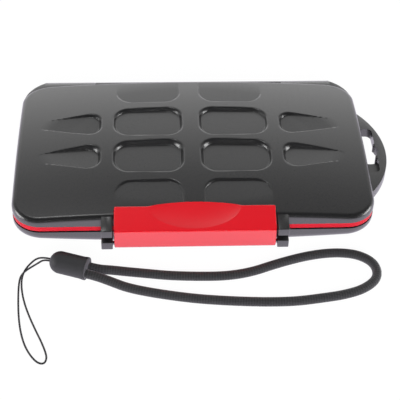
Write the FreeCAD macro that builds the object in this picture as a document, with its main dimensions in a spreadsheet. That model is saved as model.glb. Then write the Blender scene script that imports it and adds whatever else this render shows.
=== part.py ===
import FreeCAD, Part
import math
import os

import Sketcher

# Clamshell memory card case with a hand strap, in millimetres.
# Origin: centre of the flat under the base. +X to the lanyard loop, -Y to the latch, +Z up.

DRIVING_SIZES = (
    ("case_length", 134.0),
    ("case_depth", 80.0),
    ("case_height", 20.4),
    ("corner_radius", 11.0),
    ("wall", 2.2),
    # Base shell, with its rim at a share of the case's height
    ("base_rim_share", 0.4804),
    ("base_edge_radius", 4.0),
    ("base_floor_wall", 2.0),
    ("foot_cut", 0.5),
    # Lid shell. Shares here and below are of the lid's height above its rim, and the ceiling's
    # are of its own height above the foam
    ("lid_edge_radius", 2.5),
    ("crown_share_long", 0.338),
    ("crown_share_short", 0.3856),
    ("ceiling_share_long", 0.5223),
    ("ceiling_share_short", 0.5697),
    # Pressed recesses in the lid, measured at their one flat floor level, with corners rounded by
    # shares of their depth
    ("recess_share", 0.2892),
    ("recess_floor_wall", 1.2),
    ("recess_draft", 22.0),
    ("pad_rib", 8.6),
    ("pad_length", 24.8),
    ("pad_root_width", 15.2),
    ("pad_tip_width", 13.8),
    ("pad_offset", 10.3),
    ("pad_corner_share", 1.9164),
    ("end_pad_rib", 8.4),
    ("end_pad_length", 24.6),
    ("end_pad_start", 24.1),
    ("end_pad_corner_share", 2.0831),
    ("flute_start", 35.7),
    ("flute_length", 25.0),
    ("flute_root_width", 11.8),
    ("flute_tip_width", 4.2),
    ("flute_offset", 9.8),
    ("flute_corner_share", 0.8332),
    # Gasket, with a lip that reaches into the base
    ("seal_gap", 0.3),
    ("seal_height", 2.0),
    ("seal_inset", 0.15),
    ("seal_lip_gap", 0.3),
    ("seal_lip_width", 0.8),
    ("seal_lip_depth", 1.1),
    # Latch and its ears
    ("latch_width", 58.2),
    ("latch_side_gap", 0.9),
    ("ear_width", 4.0),
    ("ear_reach", 6.1),
    ("lid_ear_share", 0.4097),
    ("lid_ear_rise_share", 0.1024),
    ("base_ear_height", 3.5),
    ("latch_pin_radius", 0.8),
    ("latch_pin_setback", 0.2),
    ("latch_plate", 1.9),
    ("latch_top_share", 0.2771),
    ("latch_fold_share", 0.3494),
    ("latch_rise_share", 0.506),
    ("latch_overlap", 3.2),
    ("latch_clearance", 0.35),
    ("tab_reach", 1.7),
    ("tab_width", 34.0),
    ("dish_width", 34.0),
    ("dish_length", 16.0),
    ("dish_depth", 0.5),
    # Rear hinge
    ("hinge_knuckle_radius", 2.6),
    ("hinge_wall_gap", 0.35),
    ("hinge_pin_radius", 1.0),
    ("hinge_pin_length", 28.0),
    ("hinge_pin_setback", 0.2),
    ("pin_clearance", 0.05),
    ("base_knuckle_length", 76.6),
    ("base_gusset_height", 5.4),
    ("lid_knuckle_length", 20.0),
    ("knuckle_side_gap", 0.5),
    ("hinge_block_share", 0.3253),
    ("hinge_block_reach", 1.5),
    ("hinge_web_share", 0.265),
    ("hinge_web_reach", 4.0),
    ("hinge_web_span", 7.6),
    # Lanyard loop
    ("loop_reach", 9.1),
    ("loop_chord", 48.6),
    ("loop_thickness", 4.0),
    ("loop_rise", 2.6),
    ("loop_gap", 0.35),
    ("loop_slot_width", 5.3),
    ("loop_slot_length", 26.0),
    ("loop_slot_offset", 0.5),
    ("loop_slot_radius", 2.2),
    ("loop_step_length", 3.0),
    ("loop_step_height", 2.2),
    ("loop_notch_depth", 1.1),
    ("loop_notch_width", 5.0),
    # Foam card trays
    ("tray_side_gap", 0.3),
    ("tray_floor_gap", 0.2),
    ("base_tray_setback", 1.5),
    ("card_pocket_depth", 2.2),
    ("card_pocket_length", 24.0),
    ("card_pocket_width", 32.0),
    ("card_pocket_rib", 3.0),
    ("lid_tray_setback", 0.5),
    ("small_pocket_depth", 1.2),
    ("small_pocket_length", 12.0),
    ("small_pocket_width", 16.0),
    ("small_pocket_rib", 8.0),
    # Hand strap, lying on the floor in front of the case
    ("cord_diameter", 3.4),
    ("cord_gap", 0.1),
    ("cord_drop", 0.7),
    ("string_diameter", 0.7),
    ("string_gap", 0.3),
    ("cap_radius", 4.1),
    ("cap_length", 14.1),
    ("cap_tip_radius", 1.3),
    ("cap_lip", 0.2),
    ("cap_lip_width", 1.5),
    ("cap_turn", -19.45),
    ("cap_shift", -39.0),
    ("cap_gap", 7.5),
)

# The cord's route from one mouth of the cap round to the other: across, away from the ears,
# and lift of the cord's underside above the floor
CORD_ROUTE = (
    (-30.6, -6.8, 1.1),
    (-25.0, -6.9, 0.2),
    (-18.2, -7.7, 0.0),
    (-9.5, -9.0, 0.0),
    (1.1, -9.6, 0.0),
    (10.9, -9.6, 0.0),
    (20.0, -7.9, 0.0),
    (29.5, -3.9, 0.0),
    (39.2, -0.6, 0.0),
    (47.4, 1.1, 0.0),
    (54.6, 1.3, 0.0),
    (60.9, -0.2, 0.0),
    (65.8, -4.7, 0.0),
    (65.8, -11.7, 0.0),
    (60.2, -16.9, 0.0),
    (52.6, -19.6, 0.0),
    (44.4, -21.0, 0.0),
    (35.6, -22.3, 0.0),
    (26.4, -22.5, 0.0),
    (17.6, -22.1, 0.0),
    (8.8, -21.4, 0.0),
    (0.0, -20.4, 0.0),
    (-8.6, -18.8, 0.0),
    (-17.0, -16.9, 0.0),
    (-24.9, -14.6, 0.1),
    (-30.9, -12.0, 0.8),
)

# The string's route from one hole of the cap's tip round to the other, written the same way
STRING_ROUTE = (
    (-57.6, -0.8, 2.9),
    (-60.2, -2.6, 1.5),
    (-61.7, -4.9, 1.0),
    (-62.5, -7.7, 0.6),
    (-62.6, -10.9, 0.1),
    (-62.0, -15.4, 0.0),
    (-60.7, -20.7, 0.0),
    (-58.7, -26.5, 0.0),
    (-56.3, -32.4, 0.0),
    (-54.1, -37.4, 0.0),
    (-52.4, -41.9, 0.0),
    (-51.6, -45.1, 0.0),
    (-52.4, -47.5, 0.0),
    (-54.6, -47.1, 0.0),
    (-57.1, -44.1, 0.0),
    (-59.5, -39.5, 0.0),
    (-61.3, -33.4, 0.0),
    (-62.4, -26.9, 0.0),
    (-63.0, -20.9, 0.0),
    (-63.4, -14.9, 0.0),
    (-63.5, -10.4, 0.0),
    (-63.2, -7.1, 0.0),
    (-61.9, -4.6, 0.0),
    (-59.6, -3.3, 0.8),
    (-57.2, -2.8, 2.2),
)

# How far the cord and the string run straight out of the cap
CORD_EXIT_RUN = 4.0
STRING_EXIT_RUN = 2.4

# Share of the shorter run that each bend of a cord takes up
BEND_SHARE = 0.45

# How far cutting tools run past the faces that they cut
OVERRUN = 2.0

# The tapered recess tools stop just above the crown, before they widen into each other
RECESS_OVERRUN = 0.5

# The dish is cut by an ellipsoid this many times as tall as the dish is deep
DISH_ROUNDING = 4.0

# Edges that rise by less than this lie in the plan
LEVEL_TOLERANCE = 0.05

# A fillet leaves at least this share of the wall that it rounds
FILLET_SHARE = 0.85

# Places that several pieces share, as sheet expressions
HALF_LENGTH = "(sizes.case_length / 2)"
HALF_DEPTH = "(sizes.case_depth / 2)"
BASE_RIM = "(sizes.case_height * sizes.base_rim_share)"
SEAL_FACE = f"({BASE_RIM} + sizes.seal_gap)"
LID_RIM = f"({SEAL_FACE} + sizes.seal_height)"
LID_HEIGHT = f"(sizes.case_height - {LID_RIM})"
CROWN_LONG = f"({HALF_LENGTH} ^ 2 / (2 * sizes.crown_share_long * {LID_HEIGHT}))"
CROWN_SHORT = f"({HALF_DEPTH} ^ 2 / (2 * sizes.crown_share_short * {LID_HEIGHT}))"
ABOVE = f"(sizes.case_height + {OVERRUN})"
WALL_MIDDLE_X = f"({HALF_LENGTH} - sizes.wall / 2)"
WALL_MIDDLE_Y = f"({HALF_DEPTH} - sizes.wall / 2)"
RECESS_DROP = f"({LID_HEIGHT} * sizes.recess_share)"
RECESS_FLOOR = f"(sizes.case_height - {RECESS_DROP})"
EAR_FRONT = f"(-{HALF_DEPTH} - sizes.ear_reach)"
EAR_START = "(sizes.latch_width / 2 + sizes.latch_side_gap)"
EAR_END = f"({EAR_START} + sizes.ear_width)"
SEAT_END = "(sizes.latch_width / 2 + sizes.latch_side_gap / 2)"
LATCH_PIN_Y = f"({EAR_FRONT} + sizes.base_ear_height / 2)"
LATCH_PIN_Z = f"({BASE_RIM} - sizes.base_ear_height / 2)"
LATCH_EDGE = f"(-{HALF_DEPTH} + sizes.latch_overlap)"
LATCH_FOLD = f"({LID_RIM} + {LID_HEIGHT} * sizes.latch_fold_share)"
LATCH_RISE = f"({LID_HEIGHT} * sizes.latch_rise_share)"
LATCH_TOP = f"({LATCH_FOLD} + {LATCH_RISE})"
LATCH_TOP_PLATE = f"({LID_HEIGHT} * sizes.latch_top_share)"
LATCH_SLOPE = f"({LATCH_RISE} / (sizes.ear_reach + sizes.latch_overlap))"
TAB_EDGE = f"({LATCH_EDGE} + sizes.tab_reach)"
HINGE_Y = f"({HALF_DEPTH} + sizes.hinge_wall_gap + sizes.hinge_knuckle_radius)"
HINGE_Z = f"({BASE_RIM} + (sizes.seal_gap + sizes.seal_height) / 2)"
HINGE_BORE = "(sizes.hinge_pin_radius + sizes.pin_clearance)"
BASE_KNUCKLE_END = "(sizes.base_knuckle_length / 2)"
LID_KNUCKLE_START = f"({BASE_KNUCKLE_END} + sizes.knuckle_side_gap)"
LID_KNUCKLE_END = f"({LID_KNUCKLE_START} + sizes.lid_knuckle_length)"
HINGE_PIN_END = f"({LID_KNUCKLE_END} - sizes.hinge_pin_setback)"
HINGE_PIN_START = f"({HINGE_PIN_END} - sizes.hinge_pin_length)"
LOOP_TOP = f"({BASE_RIM} + sizes.loop_rise)"
LOOP_BOTTOM = f"({LOOP_TOP} - sizes.loop_thickness)"
LOOP_RADIUS = "((sizes.loop_chord ^ 2 / 4 + sizes.loop_reach ^ 2) / (2 * sizes.loop_reach))"
SLOT_EDGE = f"({HALF_LENGTH} + sizes.loop_slot_width)"
CARD_TOP = f"({BASE_RIM} - sizes.base_tray_setback)"
CARD_FLOOR = f"({CARD_TOP} - sizes.card_pocket_depth)"
SMALL_CARD_FACE = f"({LID_RIM} + sizes.lid_tray_setback)"
SMALL_CARD_FLOOR = f"({SMALL_CARD_FACE} + sizes.small_pocket_depth)"
CEILING = f"({RECESS_FLOOR} - sizes.recess_floor_wall)"
CEILING_ROOM = f"({CEILING} - {SMALL_CARD_FLOOR})"
CEILING_LONG = f"(({HALF_LENGTH} - sizes.wall) ^ 2 / (2 * sizes.ceiling_share_long * {CEILING_ROOM}))"
CEILING_SHORT = f"(({HALF_DEPTH} - sizes.wall) ^ 2 / (2 * sizes.ceiling_share_short * {CEILING_ROOM}))"
TRAY_INSET = "(sizes.wall + sizes.tray_side_gap)"
TRAY_LENGTH = f"(sizes.case_length - 2 * {TRAY_INSET})"
TRAY_DEPTH = f"(sizes.case_depth - 2 * {TRAY_INSET})"
CAP_Z = "(sizes.cap_radius + sizes.cap_lip)"
CAP_Y = f"({EAR_FRONT} - sizes.cap_gap)"

doc = FreeCAD.newDocument("memory_card_case")
sheet = doc.addObject("Spreadsheet::Sheet", "sizes")
for row, (alias, value) in enumerate(DRIVING_SIZES, start=1):
    sheet.set(f"A{row}", alias)
    sheet.set(f"B{row}", str(value))
    sheet.setAlias(f"B{row}", alias)
doc.recompute()


def size_of(expression):
    return float(sheet.evalExpression(expression))


def bind(item, **expressions):
    for path, expression in expressions.items():
        item.setExpression(path.replace("__", "."), expression)


def place(item, x="0", y="0", z="0"):
    bind(item, Placement__Base__x=x, Placement__Base__y=y, Placement__Base__z=z)


def turn(item, axis, angle):
    rotation = FreeCAD.Rotation(FreeCAD.Vector(*axis), angle)
    item.Placement = FreeCAD.Placement(FreeCAD.Vector(), rotation)


def new_sketch(body, name, role):
    sketch = body.newObject("Sketcher::SketchObject", name)
    plane = next(item for item in body.Origin.OriginFeatures if item.Role == role)
    sketch.AttachmentSupport = [(plane, "")]
    sketch.MapMode = "FlatFace"
    return sketch


def bind_constraint(sketch, constraint, name, expression):
    index = sketch.addConstraint(constraint)
    sketch.renameConstraint(index, name)
    sketch.setExpression(f"Constraints.{name}", expression)


# A closed outline of straight lines, each corner set out from the sketch's origin
def draw_outline(sketch, corners):
    points = [FreeCAD.Vector(size_of(across), size_of(up), 0) for across, up in corners]
    count = len(points)
    for index in range(count):
        sketch.addGeometry(Part.LineSegment(points[index], points[(index + 1) % count]), False)
    for index in range(count):
        sketch.addConstraint(Sketcher.Constraint("Coincident", index, 2, (index + 1) % count, 1))
    for index, (across, up) in enumerate(corners):
        side = Sketcher.Constraint("DistanceX", -1, 1, index, 1, points[index].x)
        bind_constraint(sketch, side, f"across{index}", across)
        level = Sketcher.Constraint("DistanceY", -1, 1, index, 1, points[index].y)
        bind_constraint(sketch, level, f"up{index}", up)


# A rectangle with four equal round corners, centred on the sketch's origin
def draw_rounded_rectangle(sketch, length, width, radius):
    half_x = size_of(length) / 2
    half_y = size_of(width) / 2
    round_by = size_of(radius)
    in_x = half_x - round_by
    in_y = half_y - round_by
    sides = (
        ((-in_x, -half_y, 0), (in_x, -half_y, 0)),
        ((half_x, -in_y, 0), (half_x, in_y, 0)),
        ((in_x, half_y, 0), (-in_x, half_y, 0)),
        ((-half_x, in_y, 0), (-half_x, -in_y, 0)),
    )
    for start, end in sides:
        sketch.addGeometry(Part.LineSegment(FreeCAD.Vector(*start), FreeCAD.Vector(*end)), False)
    centres = ((in_x, -in_y, 0), (in_x, in_y, 0), (-in_x, in_y, 0), (-in_x, -in_y, 0))
    for index, centre in enumerate(centres):
        first = math.radians(90 * index - 90)
        circle = Part.Circle(FreeCAD.Vector(*centre), FreeCAD.Vector(0, 0, 1), round_by)
        sketch.addGeometry(Part.ArcOfCircle(circle, first, first + math.pi / 2), False)
    for index in range(4):
        corner = 4 + index
        sketch.addConstraint(Sketcher.Constraint("Tangent", index, 2, corner, 1))
        sketch.addConstraint(Sketcher.Constraint("Tangent", corner, 2, (index + 1) % 4, 1))
    for side in (0, 2):
        sketch.addConstraint(Sketcher.Constraint("Horizontal", side))
    for side in (1, 3):
        sketch.addConstraint(Sketcher.Constraint("Vertical", side))
    for corner in (4, 5, 6):
        sketch.addConstraint(Sketcher.Constraint("Equal", corner, corner + 1))
    sketch.addConstraint(Sketcher.Constraint("Symmetric", 4, 3, 6, 3, -1, 1))
    bind_constraint(sketch, Sketcher.Constraint("Radius", 4, round_by), "radius", radius)
    across = Sketcher.Constraint("DistanceX", 3, 1, 1, 1, 2 * half_x)
    bind_constraint(sketch, across, "length", length)
    along = Sketcher.Constraint("DistanceY", 0, 1, 2, 1, 2 * half_y)
    bind_constraint(sketch, along, "width", width)


def new_pad(body, sketch, length):
    pad = body.newObject("PartDesign::Pad", f"{body.Name}_pad")
    pad.Profile = sketch
    bind(pad, Length=length)
    body.Tip = pad
    return pad


def rounded_block(name, length, width, radius, bottom, top):
    body = doc.addObject("PartDesign::Body", name)
    sketch = new_sketch(body, f"{name}_outline", "XY_Plane")
    draw_rounded_rectangle(sketch, length, width, radius)
    new_pad(body, sketch, f"{top} - {bottom}")
    place(body, z=bottom)
    return body


# A block with the case's own outline, drawn in by an inset
def case_block(name, inset, bottom, top):
    length = f"(sizes.case_length - 2 * {inset})"
    depth = f"(sizes.case_depth - 2 * {inset})"
    return rounded_block(name, length, depth, f"(sizes.corner_radius - {inset})", bottom, top)


# A prism along X, from its section in Y and Z
def side_prism(name, corners, start, end):
    body = doc.addObject("PartDesign::Body", name)
    sketch = new_sketch(body, f"{name}_section", "YZ_Plane")
    draw_outline(sketch, corners)
    new_pad(body, sketch, f"{end} - {start}")
    place(body, x=start)
    return body


# An upright prism, from its plan in X and Y
def plan_prism(name, corners, bottom, top):
    body = doc.addObject("PartDesign::Body", name)
    sketch = new_sketch(body, f"{name}_plan", "XY_Plane")
    draw_outline(sketch, corners)
    new_pad(body, sketch, f"{top} - {bottom}")
    place(body, z=bottom)
    return body


def box(name, start, end, front, back, bottom, top):
    block = doc.addObject("Part::Box", name)
    bind(block, Length=f"{end} - {start}", Width=f"{back} - {front}", Height=f"{top} - {bottom}")
    place(block, start, front, bottom)
    return block


def rod_along_x(name, radius, start, end, y="0", z="0"):
    rod = doc.addObject("Part::Cylinder", name)
    turn(rod, (0, 1, 0), 90)
    bind(rod, Radius=radius, Height=f"{end} - {start}")
    place(rod, start, y, z)
    return rod


def disc(name, radius, x, y, bottom, top):
    cylinder = doc.addObject("Part::Cylinder", name)
    bind(cylinder, Radius=radius, Height=f"{top} - {bottom}")
    place(cylinder, x, y, bottom)
    return cylinder


# A section in Y and Z under an arc, or over one, with the axis that it turns about
def draw_crown_section(sketch, apex, long_radius, short_radius, upward):
    side = 1 if upward else -1
    radius = size_of(short_radius)
    half_y = size_of(HALF_DEPTH) + OVERRUN
    centre_z = size_of(apex) - side * radius
    far_z = size_of(apex) - side * 2 * size_of("sizes.case_height")
    axis_z = size_of(apex) - side * size_of(long_radius)
    spread = math.asin(half_y / radius)
    middle = side * math.pi / 2
    circle = Part.Circle(FreeCAD.Vector(0, centre_z, 0), FreeCAD.Vector(0, 0, 1), radius)
    arc = Part.ArcOfCircle(circle, middle - spread, middle + spread)
    first = arc.StartPoint
    last = arc.EndPoint
    below_last = FreeCAD.Vector(last.x, far_z, 0)
    below_first = FreeCAD.Vector(first.x, far_z, 0)
    sketch.addGeometry(arc, False)
    sketch.addGeometry(Part.LineSegment(last, below_last), False)
    sketch.addGeometry(Part.LineSegment(below_last, below_first), False)
    sketch.addGeometry(Part.LineSegment(below_first, first), False)
    axis_start = FreeCAD.Vector(-half_y, axis_z, 0)
    axis_end = FreeCAD.Vector(half_y, axis_z, 0)
    sketch.addGeometry(Part.LineSegment(axis_start, axis_end), True)
    for before, after in ((0, 1), (1, 2), (2, 3), (3, 0)):
        sketch.addConstraint(Sketcher.Constraint("Coincident", before, 2, after, 1))
    for line in (1, 3):
        sketch.addConstraint(Sketcher.Constraint("Vertical", line))
    for line in (2, 4):
        sketch.addConstraint(Sketcher.Constraint("Symmetric", line, 1, line, 2, -2))
    sketch.addConstraint(Sketcher.Constraint("Vertical", 4, 2, 2, 2 if upward else 1))
    sketch.addConstraint(Sketcher.Constraint("PointOnObject", 0, 3, -2))
    bind_constraint(sketch, Sketcher.Constraint("Radius", 0, radius), "radius", short_radius)
    sign = "-" if upward else "+"
    centre = Sketcher.Constraint("DistanceY", -1, 1, 0, 3, centre_z)
    bind_constraint(sketch, centre, "centre", f"{apex} {sign} {short_radius}")
    axis = Sketcher.Constraint("DistanceY", -1, 1, 4, 1, axis_z)
    bind_constraint(sketch, axis, "axis", f"{apex} {sign} {long_radius}")
    far = Sketcher.Constraint("DistanceY", -1, 1, 2, 1, far_z)
    bind_constraint(sketch, far, "far", f"{apex} {sign} 2 * sizes.case_height")
    across = Sketcher.Constraint("DistanceX", -1, 1, 4, 2, half_y)
    bind_constraint(sketch, across, "across", f"{HALF_DEPTH} + {OVERRUN}")


# A dome that bends by one radius along X and by another along Y
def crown(name, apex, long_radius, short_radius, upward):
    body = doc.addObject("PartDesign::Body", name)
    sketch = new_sketch(body, f"{name}_section", "YZ_Plane")
    draw_crown_section(sketch, apex, long_radius, short_radius, upward)
    dome = body.newObject("PartDesign::Revolution", f"{name}_turned")
    dome.Profile = sketch
    dome.ReferenceAxis = (sketch, ["Axis0"])
    dome.Midplane = True
    # Twice the angle that the case's length takes up
    bind(dome, Angle=f"4 * asin({HALF_LENGTH} / {long_radius})")
    body.Tip = dome
    return body


def mirrored(source, normal):
    copy = doc.addObject("Part::Mirroring", f"{source.Name}_mirrored")
    copy.Source = source
    copy.Base = FreeCAD.Vector()
    copy.Normal = FreeCAD.Vector(*normal)
    return copy


def both_sides(source):
    return [source, mirrored(source, (1, 0, 0))]


def all_quarters(source):
    pair = both_sides(source)
    return pair + [mirrored(item, (0, 1, 0)) for item in pair]


def combine(kind, name, first, second):
    result = doc.addObject(kind, name)
    result.Base = first
    result.Tool = second
    return result


def cut(name, base, tool):
    return combine("Part::Cut", name, base, tool)


def common(name, base, tool):
    return combine("Part::Common", name, base, tool)


# Cuts tools that overlap each other, one after another
def cut_each(name, base, tools):
    for tool in tools[:-1]:
        base = cut(f"{name}_after_{tool.Name}", base, tool)
    return cut(name, base, tools[-1])


def fuse(name, pieces):
    result = doc.addObject("Part::MultiFuse", name)
    result.Shapes = pieces
    return result


# Tools that lie apart from each other, kept together
def gather(name, pieces):
    result = doc.addObject("Part::Compound", name)
    result.Links = pieces
    return result


# Rounds the edges of a solid whose ends all lie between two levels
def fillet_between(name, base, radius, low, high):
    doc.recompute()
    chosen = [
        index
        for index, edge in enumerate(base.Shape.Edges, start=1)
        if all(low < vertex.Point.z < high for vertex in edge.Vertexes)
    ]
    result = doc.addObject("Part::Fillet", name)
    result.Base = base
    result.Edges = [(index, radius, radius) for index in chosen]
    return result


# Height of the wall that a crown leaves at the corners of a shell of this height
def corner_wall(height):
    fall = f"{LID_HEIGHT} * (sizes.crown_share_long + sizes.crown_share_short)"
    return size_of(f"{height} - {fall}")


# A tapered tool with round corners, wider upwards, that sinks a flat floor into the lid
def recess_tool(name, start, length, root_width, tip_width, offset, corner_radius):
    body = doc.addObject("PartDesign::Body", name)
    sketch = new_sketch(body, f"{name}_floor", "XY_Plane")
    far = f"({start} + {length})"
    root = f"({root_width} / 2)"
    tip = f"({tip_width} / 2)"
    draw_outline(sketch, ((start, f"-{root}"), (far, f"-{tip}"), (far, tip), (start, root)))
    pad = new_pad(body, sketch, f"{RECESS_DROP} + {RECESS_OVERRUN}")
    bind(pad, TaperAngle="sizes.recess_draft")
    doc.recompute()
    rounding = body.newObject("PartDesign::Fillet", f"{name}_corners")
    rounding.Base = (pad, [
        f"Edge{index}"
        for index, edge in enumerate(pad.Shape.Edges, start=1)
        if edge.BoundBox.ZLength > LEVEL_TOLERANCE
    ])
    bind(rounding, Radius=corner_radius)
    body.Tip = rounding
    place(body, y=offset, z=RECESS_FLOOR)
    return body


def make_recesses():
    pad = recess_tool(
        "pad_tool", "(sizes.pad_rib / 2)", "sizes.pad_length", "sizes.pad_root_width",
        "sizes.pad_tip_width", "sizes.pad_offset", f"{RECESS_DROP} * sizes.pad_corner_share",
    )
    end_pad_width = f"({HALF_DEPTH} - sizes.end_pad_start)"
    end_pad = recess_tool(
        "end_pad_tool", "(sizes.end_pad_rib / 2)", "sizes.end_pad_length", end_pad_width,
        end_pad_width, f"sizes.end_pad_start + {end_pad_width} / 2",
        f"{RECESS_DROP} * sizes.end_pad_corner_share",
    )
    flute = recess_tool(
        "flute_tool", "sizes.flute_start", "sizes.flute_length", "sizes.flute_root_width",
        "sizes.flute_tip_width", "sizes.flute_offset", f"{RECESS_DROP} * sizes.flute_corner_share",
    )
    return all_quarters(pad) + all_quarters(end_pad) + all_quarters(flute)


# The dome of the lid's ceiling, drawn in by an offset
def lid_ceiling(name, offset):
    return crown(
        name, f"({CEILING} - {offset})", f"({CEILING_LONG} - {offset})",
        f"({CEILING_SHORT} - {offset})", True,
    )


def make_lid_shell():
    block = case_block("lid_block", "0", LID_RIM, ABOVE)
    top = crown("lid_crown", "sizes.case_height", CROWN_LONG, CROWN_SHORT, True)
    edge_radius = min(size_of("sizes.lid_edge_radius"), FILLET_SHARE * corner_wall(LID_HEIGHT))
    rim = size_of(LID_RIM)
    skin = fillet_between(
        "lid_skin", common("lid_domed", block, top), edge_radius, rim + LEVEL_TOLERANCE, size_of(ABOVE)
    )
    ear_top = f"({LID_RIM} + {LID_HEIGHT} * sizes.lid_ear_share)"
    ear = side_prism("lid_ear", (
        (EAR_FRONT, LID_RIM),
        (f"-{WALL_MIDDLE_Y}", LID_RIM),
        (f"-{WALL_MIDDLE_Y}", f"{ear_top} + {LID_HEIGHT} * sizes.lid_ear_rise_share"),
        (EAR_FRONT, ear_top),
    ), EAR_START, EAR_END)
    shoulder = "(sizes.hinge_knuckle_radius * sin(45deg))"
    block_top = f"({LID_RIM} + {LID_HEIGHT} * sizes.hinge_block_share)"
    hinge_block = side_prism("lid_hinge_block", (
        (WALL_MIDDLE_Y, LID_RIM),
        (WALL_MIDDLE_Y, block_top),
        (f"{HALF_DEPTH} + sizes.hinge_block_reach", block_top),
        (f"{HINGE_Y} + {shoulder}", f"{HINGE_Z} + {shoulder}"),
        (HINGE_Y, HINGE_Z),
        (f"{HALF_DEPTH} + sizes.hinge_wall_gap", LID_RIM),
    ), LID_KNUCKLE_START, LID_KNUCKLE_END)
    barrel = rod_along_x(
        "lid_barrel", "sizes.hinge_knuckle_radius", LID_KNUCKLE_START, LID_KNUCKLE_END, HINGE_Y, HINGE_Z
    )
    web = plan_prism("lid_hinge_web", (
        (f"{LID_KNUCKLE_END} - sizes.wall", WALL_MIDDLE_Y),
        (LID_KNUCKLE_END, f"{HALF_DEPTH} + sizes.hinge_web_reach"),
        (f"{HALF_LENGTH} - sizes.wall / 8", f"{HALF_DEPTH} - sizes.hinge_web_span"),
        (WALL_MIDDLE_X, f"{HALF_DEPTH} - sizes.hinge_web_span - sizes.wall"),
    ), LID_RIM, f"{LID_RIM} + {LID_HEIGHT} * sizes.hinge_web_share")
    added = both_sides(ear) + both_sides(hinge_block) + both_sides(barrel) + both_sides(web)
    cavity = common(
        "lid_cavity",
        case_block("lid_cavity_block", "sizes.wall", f"({LID_RIM} - {OVERRUN})", ABOVE),
        lid_ceiling("lid_ceiling", "0"),
    )
    bore = rod_along_x(
        "lid_hinge_bore", HINGE_BORE, f"({LID_KNUCKLE_START} - {OVERRUN})",
        f"({LID_KNUCKLE_END} + {OVERRUN})", HINGE_Y, HINGE_Z,
    )
    drop = f"({LATCH_TOP_PLATE} + sizes.latch_clearance)"
    seat_front = f"(-{HALF_DEPTH} - {OVERRUN})"
    seat_back = f"({LATCH_EDGE} + sizes.latch_clearance)"
    seat = side_prism("latch_seat", (
        (seat_front, f"{LATCH_FOLD} + ({seat_front} - {EAR_FRONT}) * {LATCH_SLOPE} - {drop}"),
        (seat_back, f"{LATCH_FOLD} + ({seat_back} - {EAR_FRONT}) * {LATCH_SLOPE} - {drop}"),
        (seat_back, ABOVE),
        (seat_front, ABOVE),
    ), f"(-{SEAT_END})", SEAT_END)
    hollow = cut_each("lid_hollow", fuse("lid_solid", [skin] + added), [cavity, seat] + both_sides(bore))
    return cut("lid_shell", hollow, gather("lid_recesses", make_recesses()))


def make_loop():
    plate = disc(
        "loop_plate", LOOP_RADIUS, f"{HALF_LENGTH} + sizes.loop_reach - {LOOP_RADIUS}", "0",
        LOOP_BOTTOM, LOOP_TOP,
    )
    half_chord = "(sizes.loop_chord / 2)"
    past = f"({HALF_LENGTH} + sizes.loop_reach + {OVERRUN})"
    root = box(
        "loop_root", WALL_MIDDLE_X, past, f"-{half_chord}", half_chord, LOOP_BOTTOM, BASE_RIM
    )
    arm = box(
        "loop_arm", f"({HALF_LENGTH} + sizes.loop_gap)", past, f"-{half_chord}", half_chord,
        LOOP_BOTTOM, LOOP_TOP,
    )
    return common("loop", plate, fuse("loop_space", [root, arm]))


# The slot in the loop is shorter below a step, and has a notch in its outer edge
def make_loop_slot():
    slots = []
    middle_x = f"{HALF_LENGTH} + sizes.loop_slot_width / 2"
    step = f"({LOOP_TOP} - sizes.loop_step_height)"
    spans = (
        ("loop_slot_upper", "0", step, f"({LOOP_TOP} + {OVERRUN})"),
        ("loop_slot_lower", "sizes.loop_step_length", f"({LOOP_BOTTOM} - {OVERRUN})", step),
    )
    for name, shorter, bottom, top in spans:
        slot = rounded_block(
            name, "sizes.loop_slot_width", f"(sizes.loop_slot_length - {shorter})",
            "sizes.loop_slot_radius", bottom, top,
        )
        place(slot, middle_x, f"sizes.loop_slot_offset + {shorter} / 2", bottom)
        slots.append(slot)
    half_notch = "(sizes.loop_notch_width / 2)"
    notch = plan_prism("loop_notch", (
        (middle_x, f"sizes.loop_slot_offset - {half_notch}"),
        (SLOT_EDGE, f"sizes.loop_slot_offset - {half_notch}"),
        (f"{SLOT_EDGE} + sizes.loop_notch_depth", "sizes.loop_slot_offset"),
        (SLOT_EDGE, f"sizes.loop_slot_offset + {half_notch}"),
        (middle_x, f"sizes.loop_slot_offset + {half_notch}"),
    ), f"({LOOP_BOTTOM} - {OVERRUN})", f"({LOOP_TOP} + {OVERRUN})")
    return slots + [notch]


# The dome of the base's floor, drawn in by an offset
def base_crown(name, offset):
    return crown(
        name, f"({offset} - sizes.foot_cut)", f"({CROWN_LONG} - {offset})",
        f"({CROWN_SHORT} - {offset})", False,
    )


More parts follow.
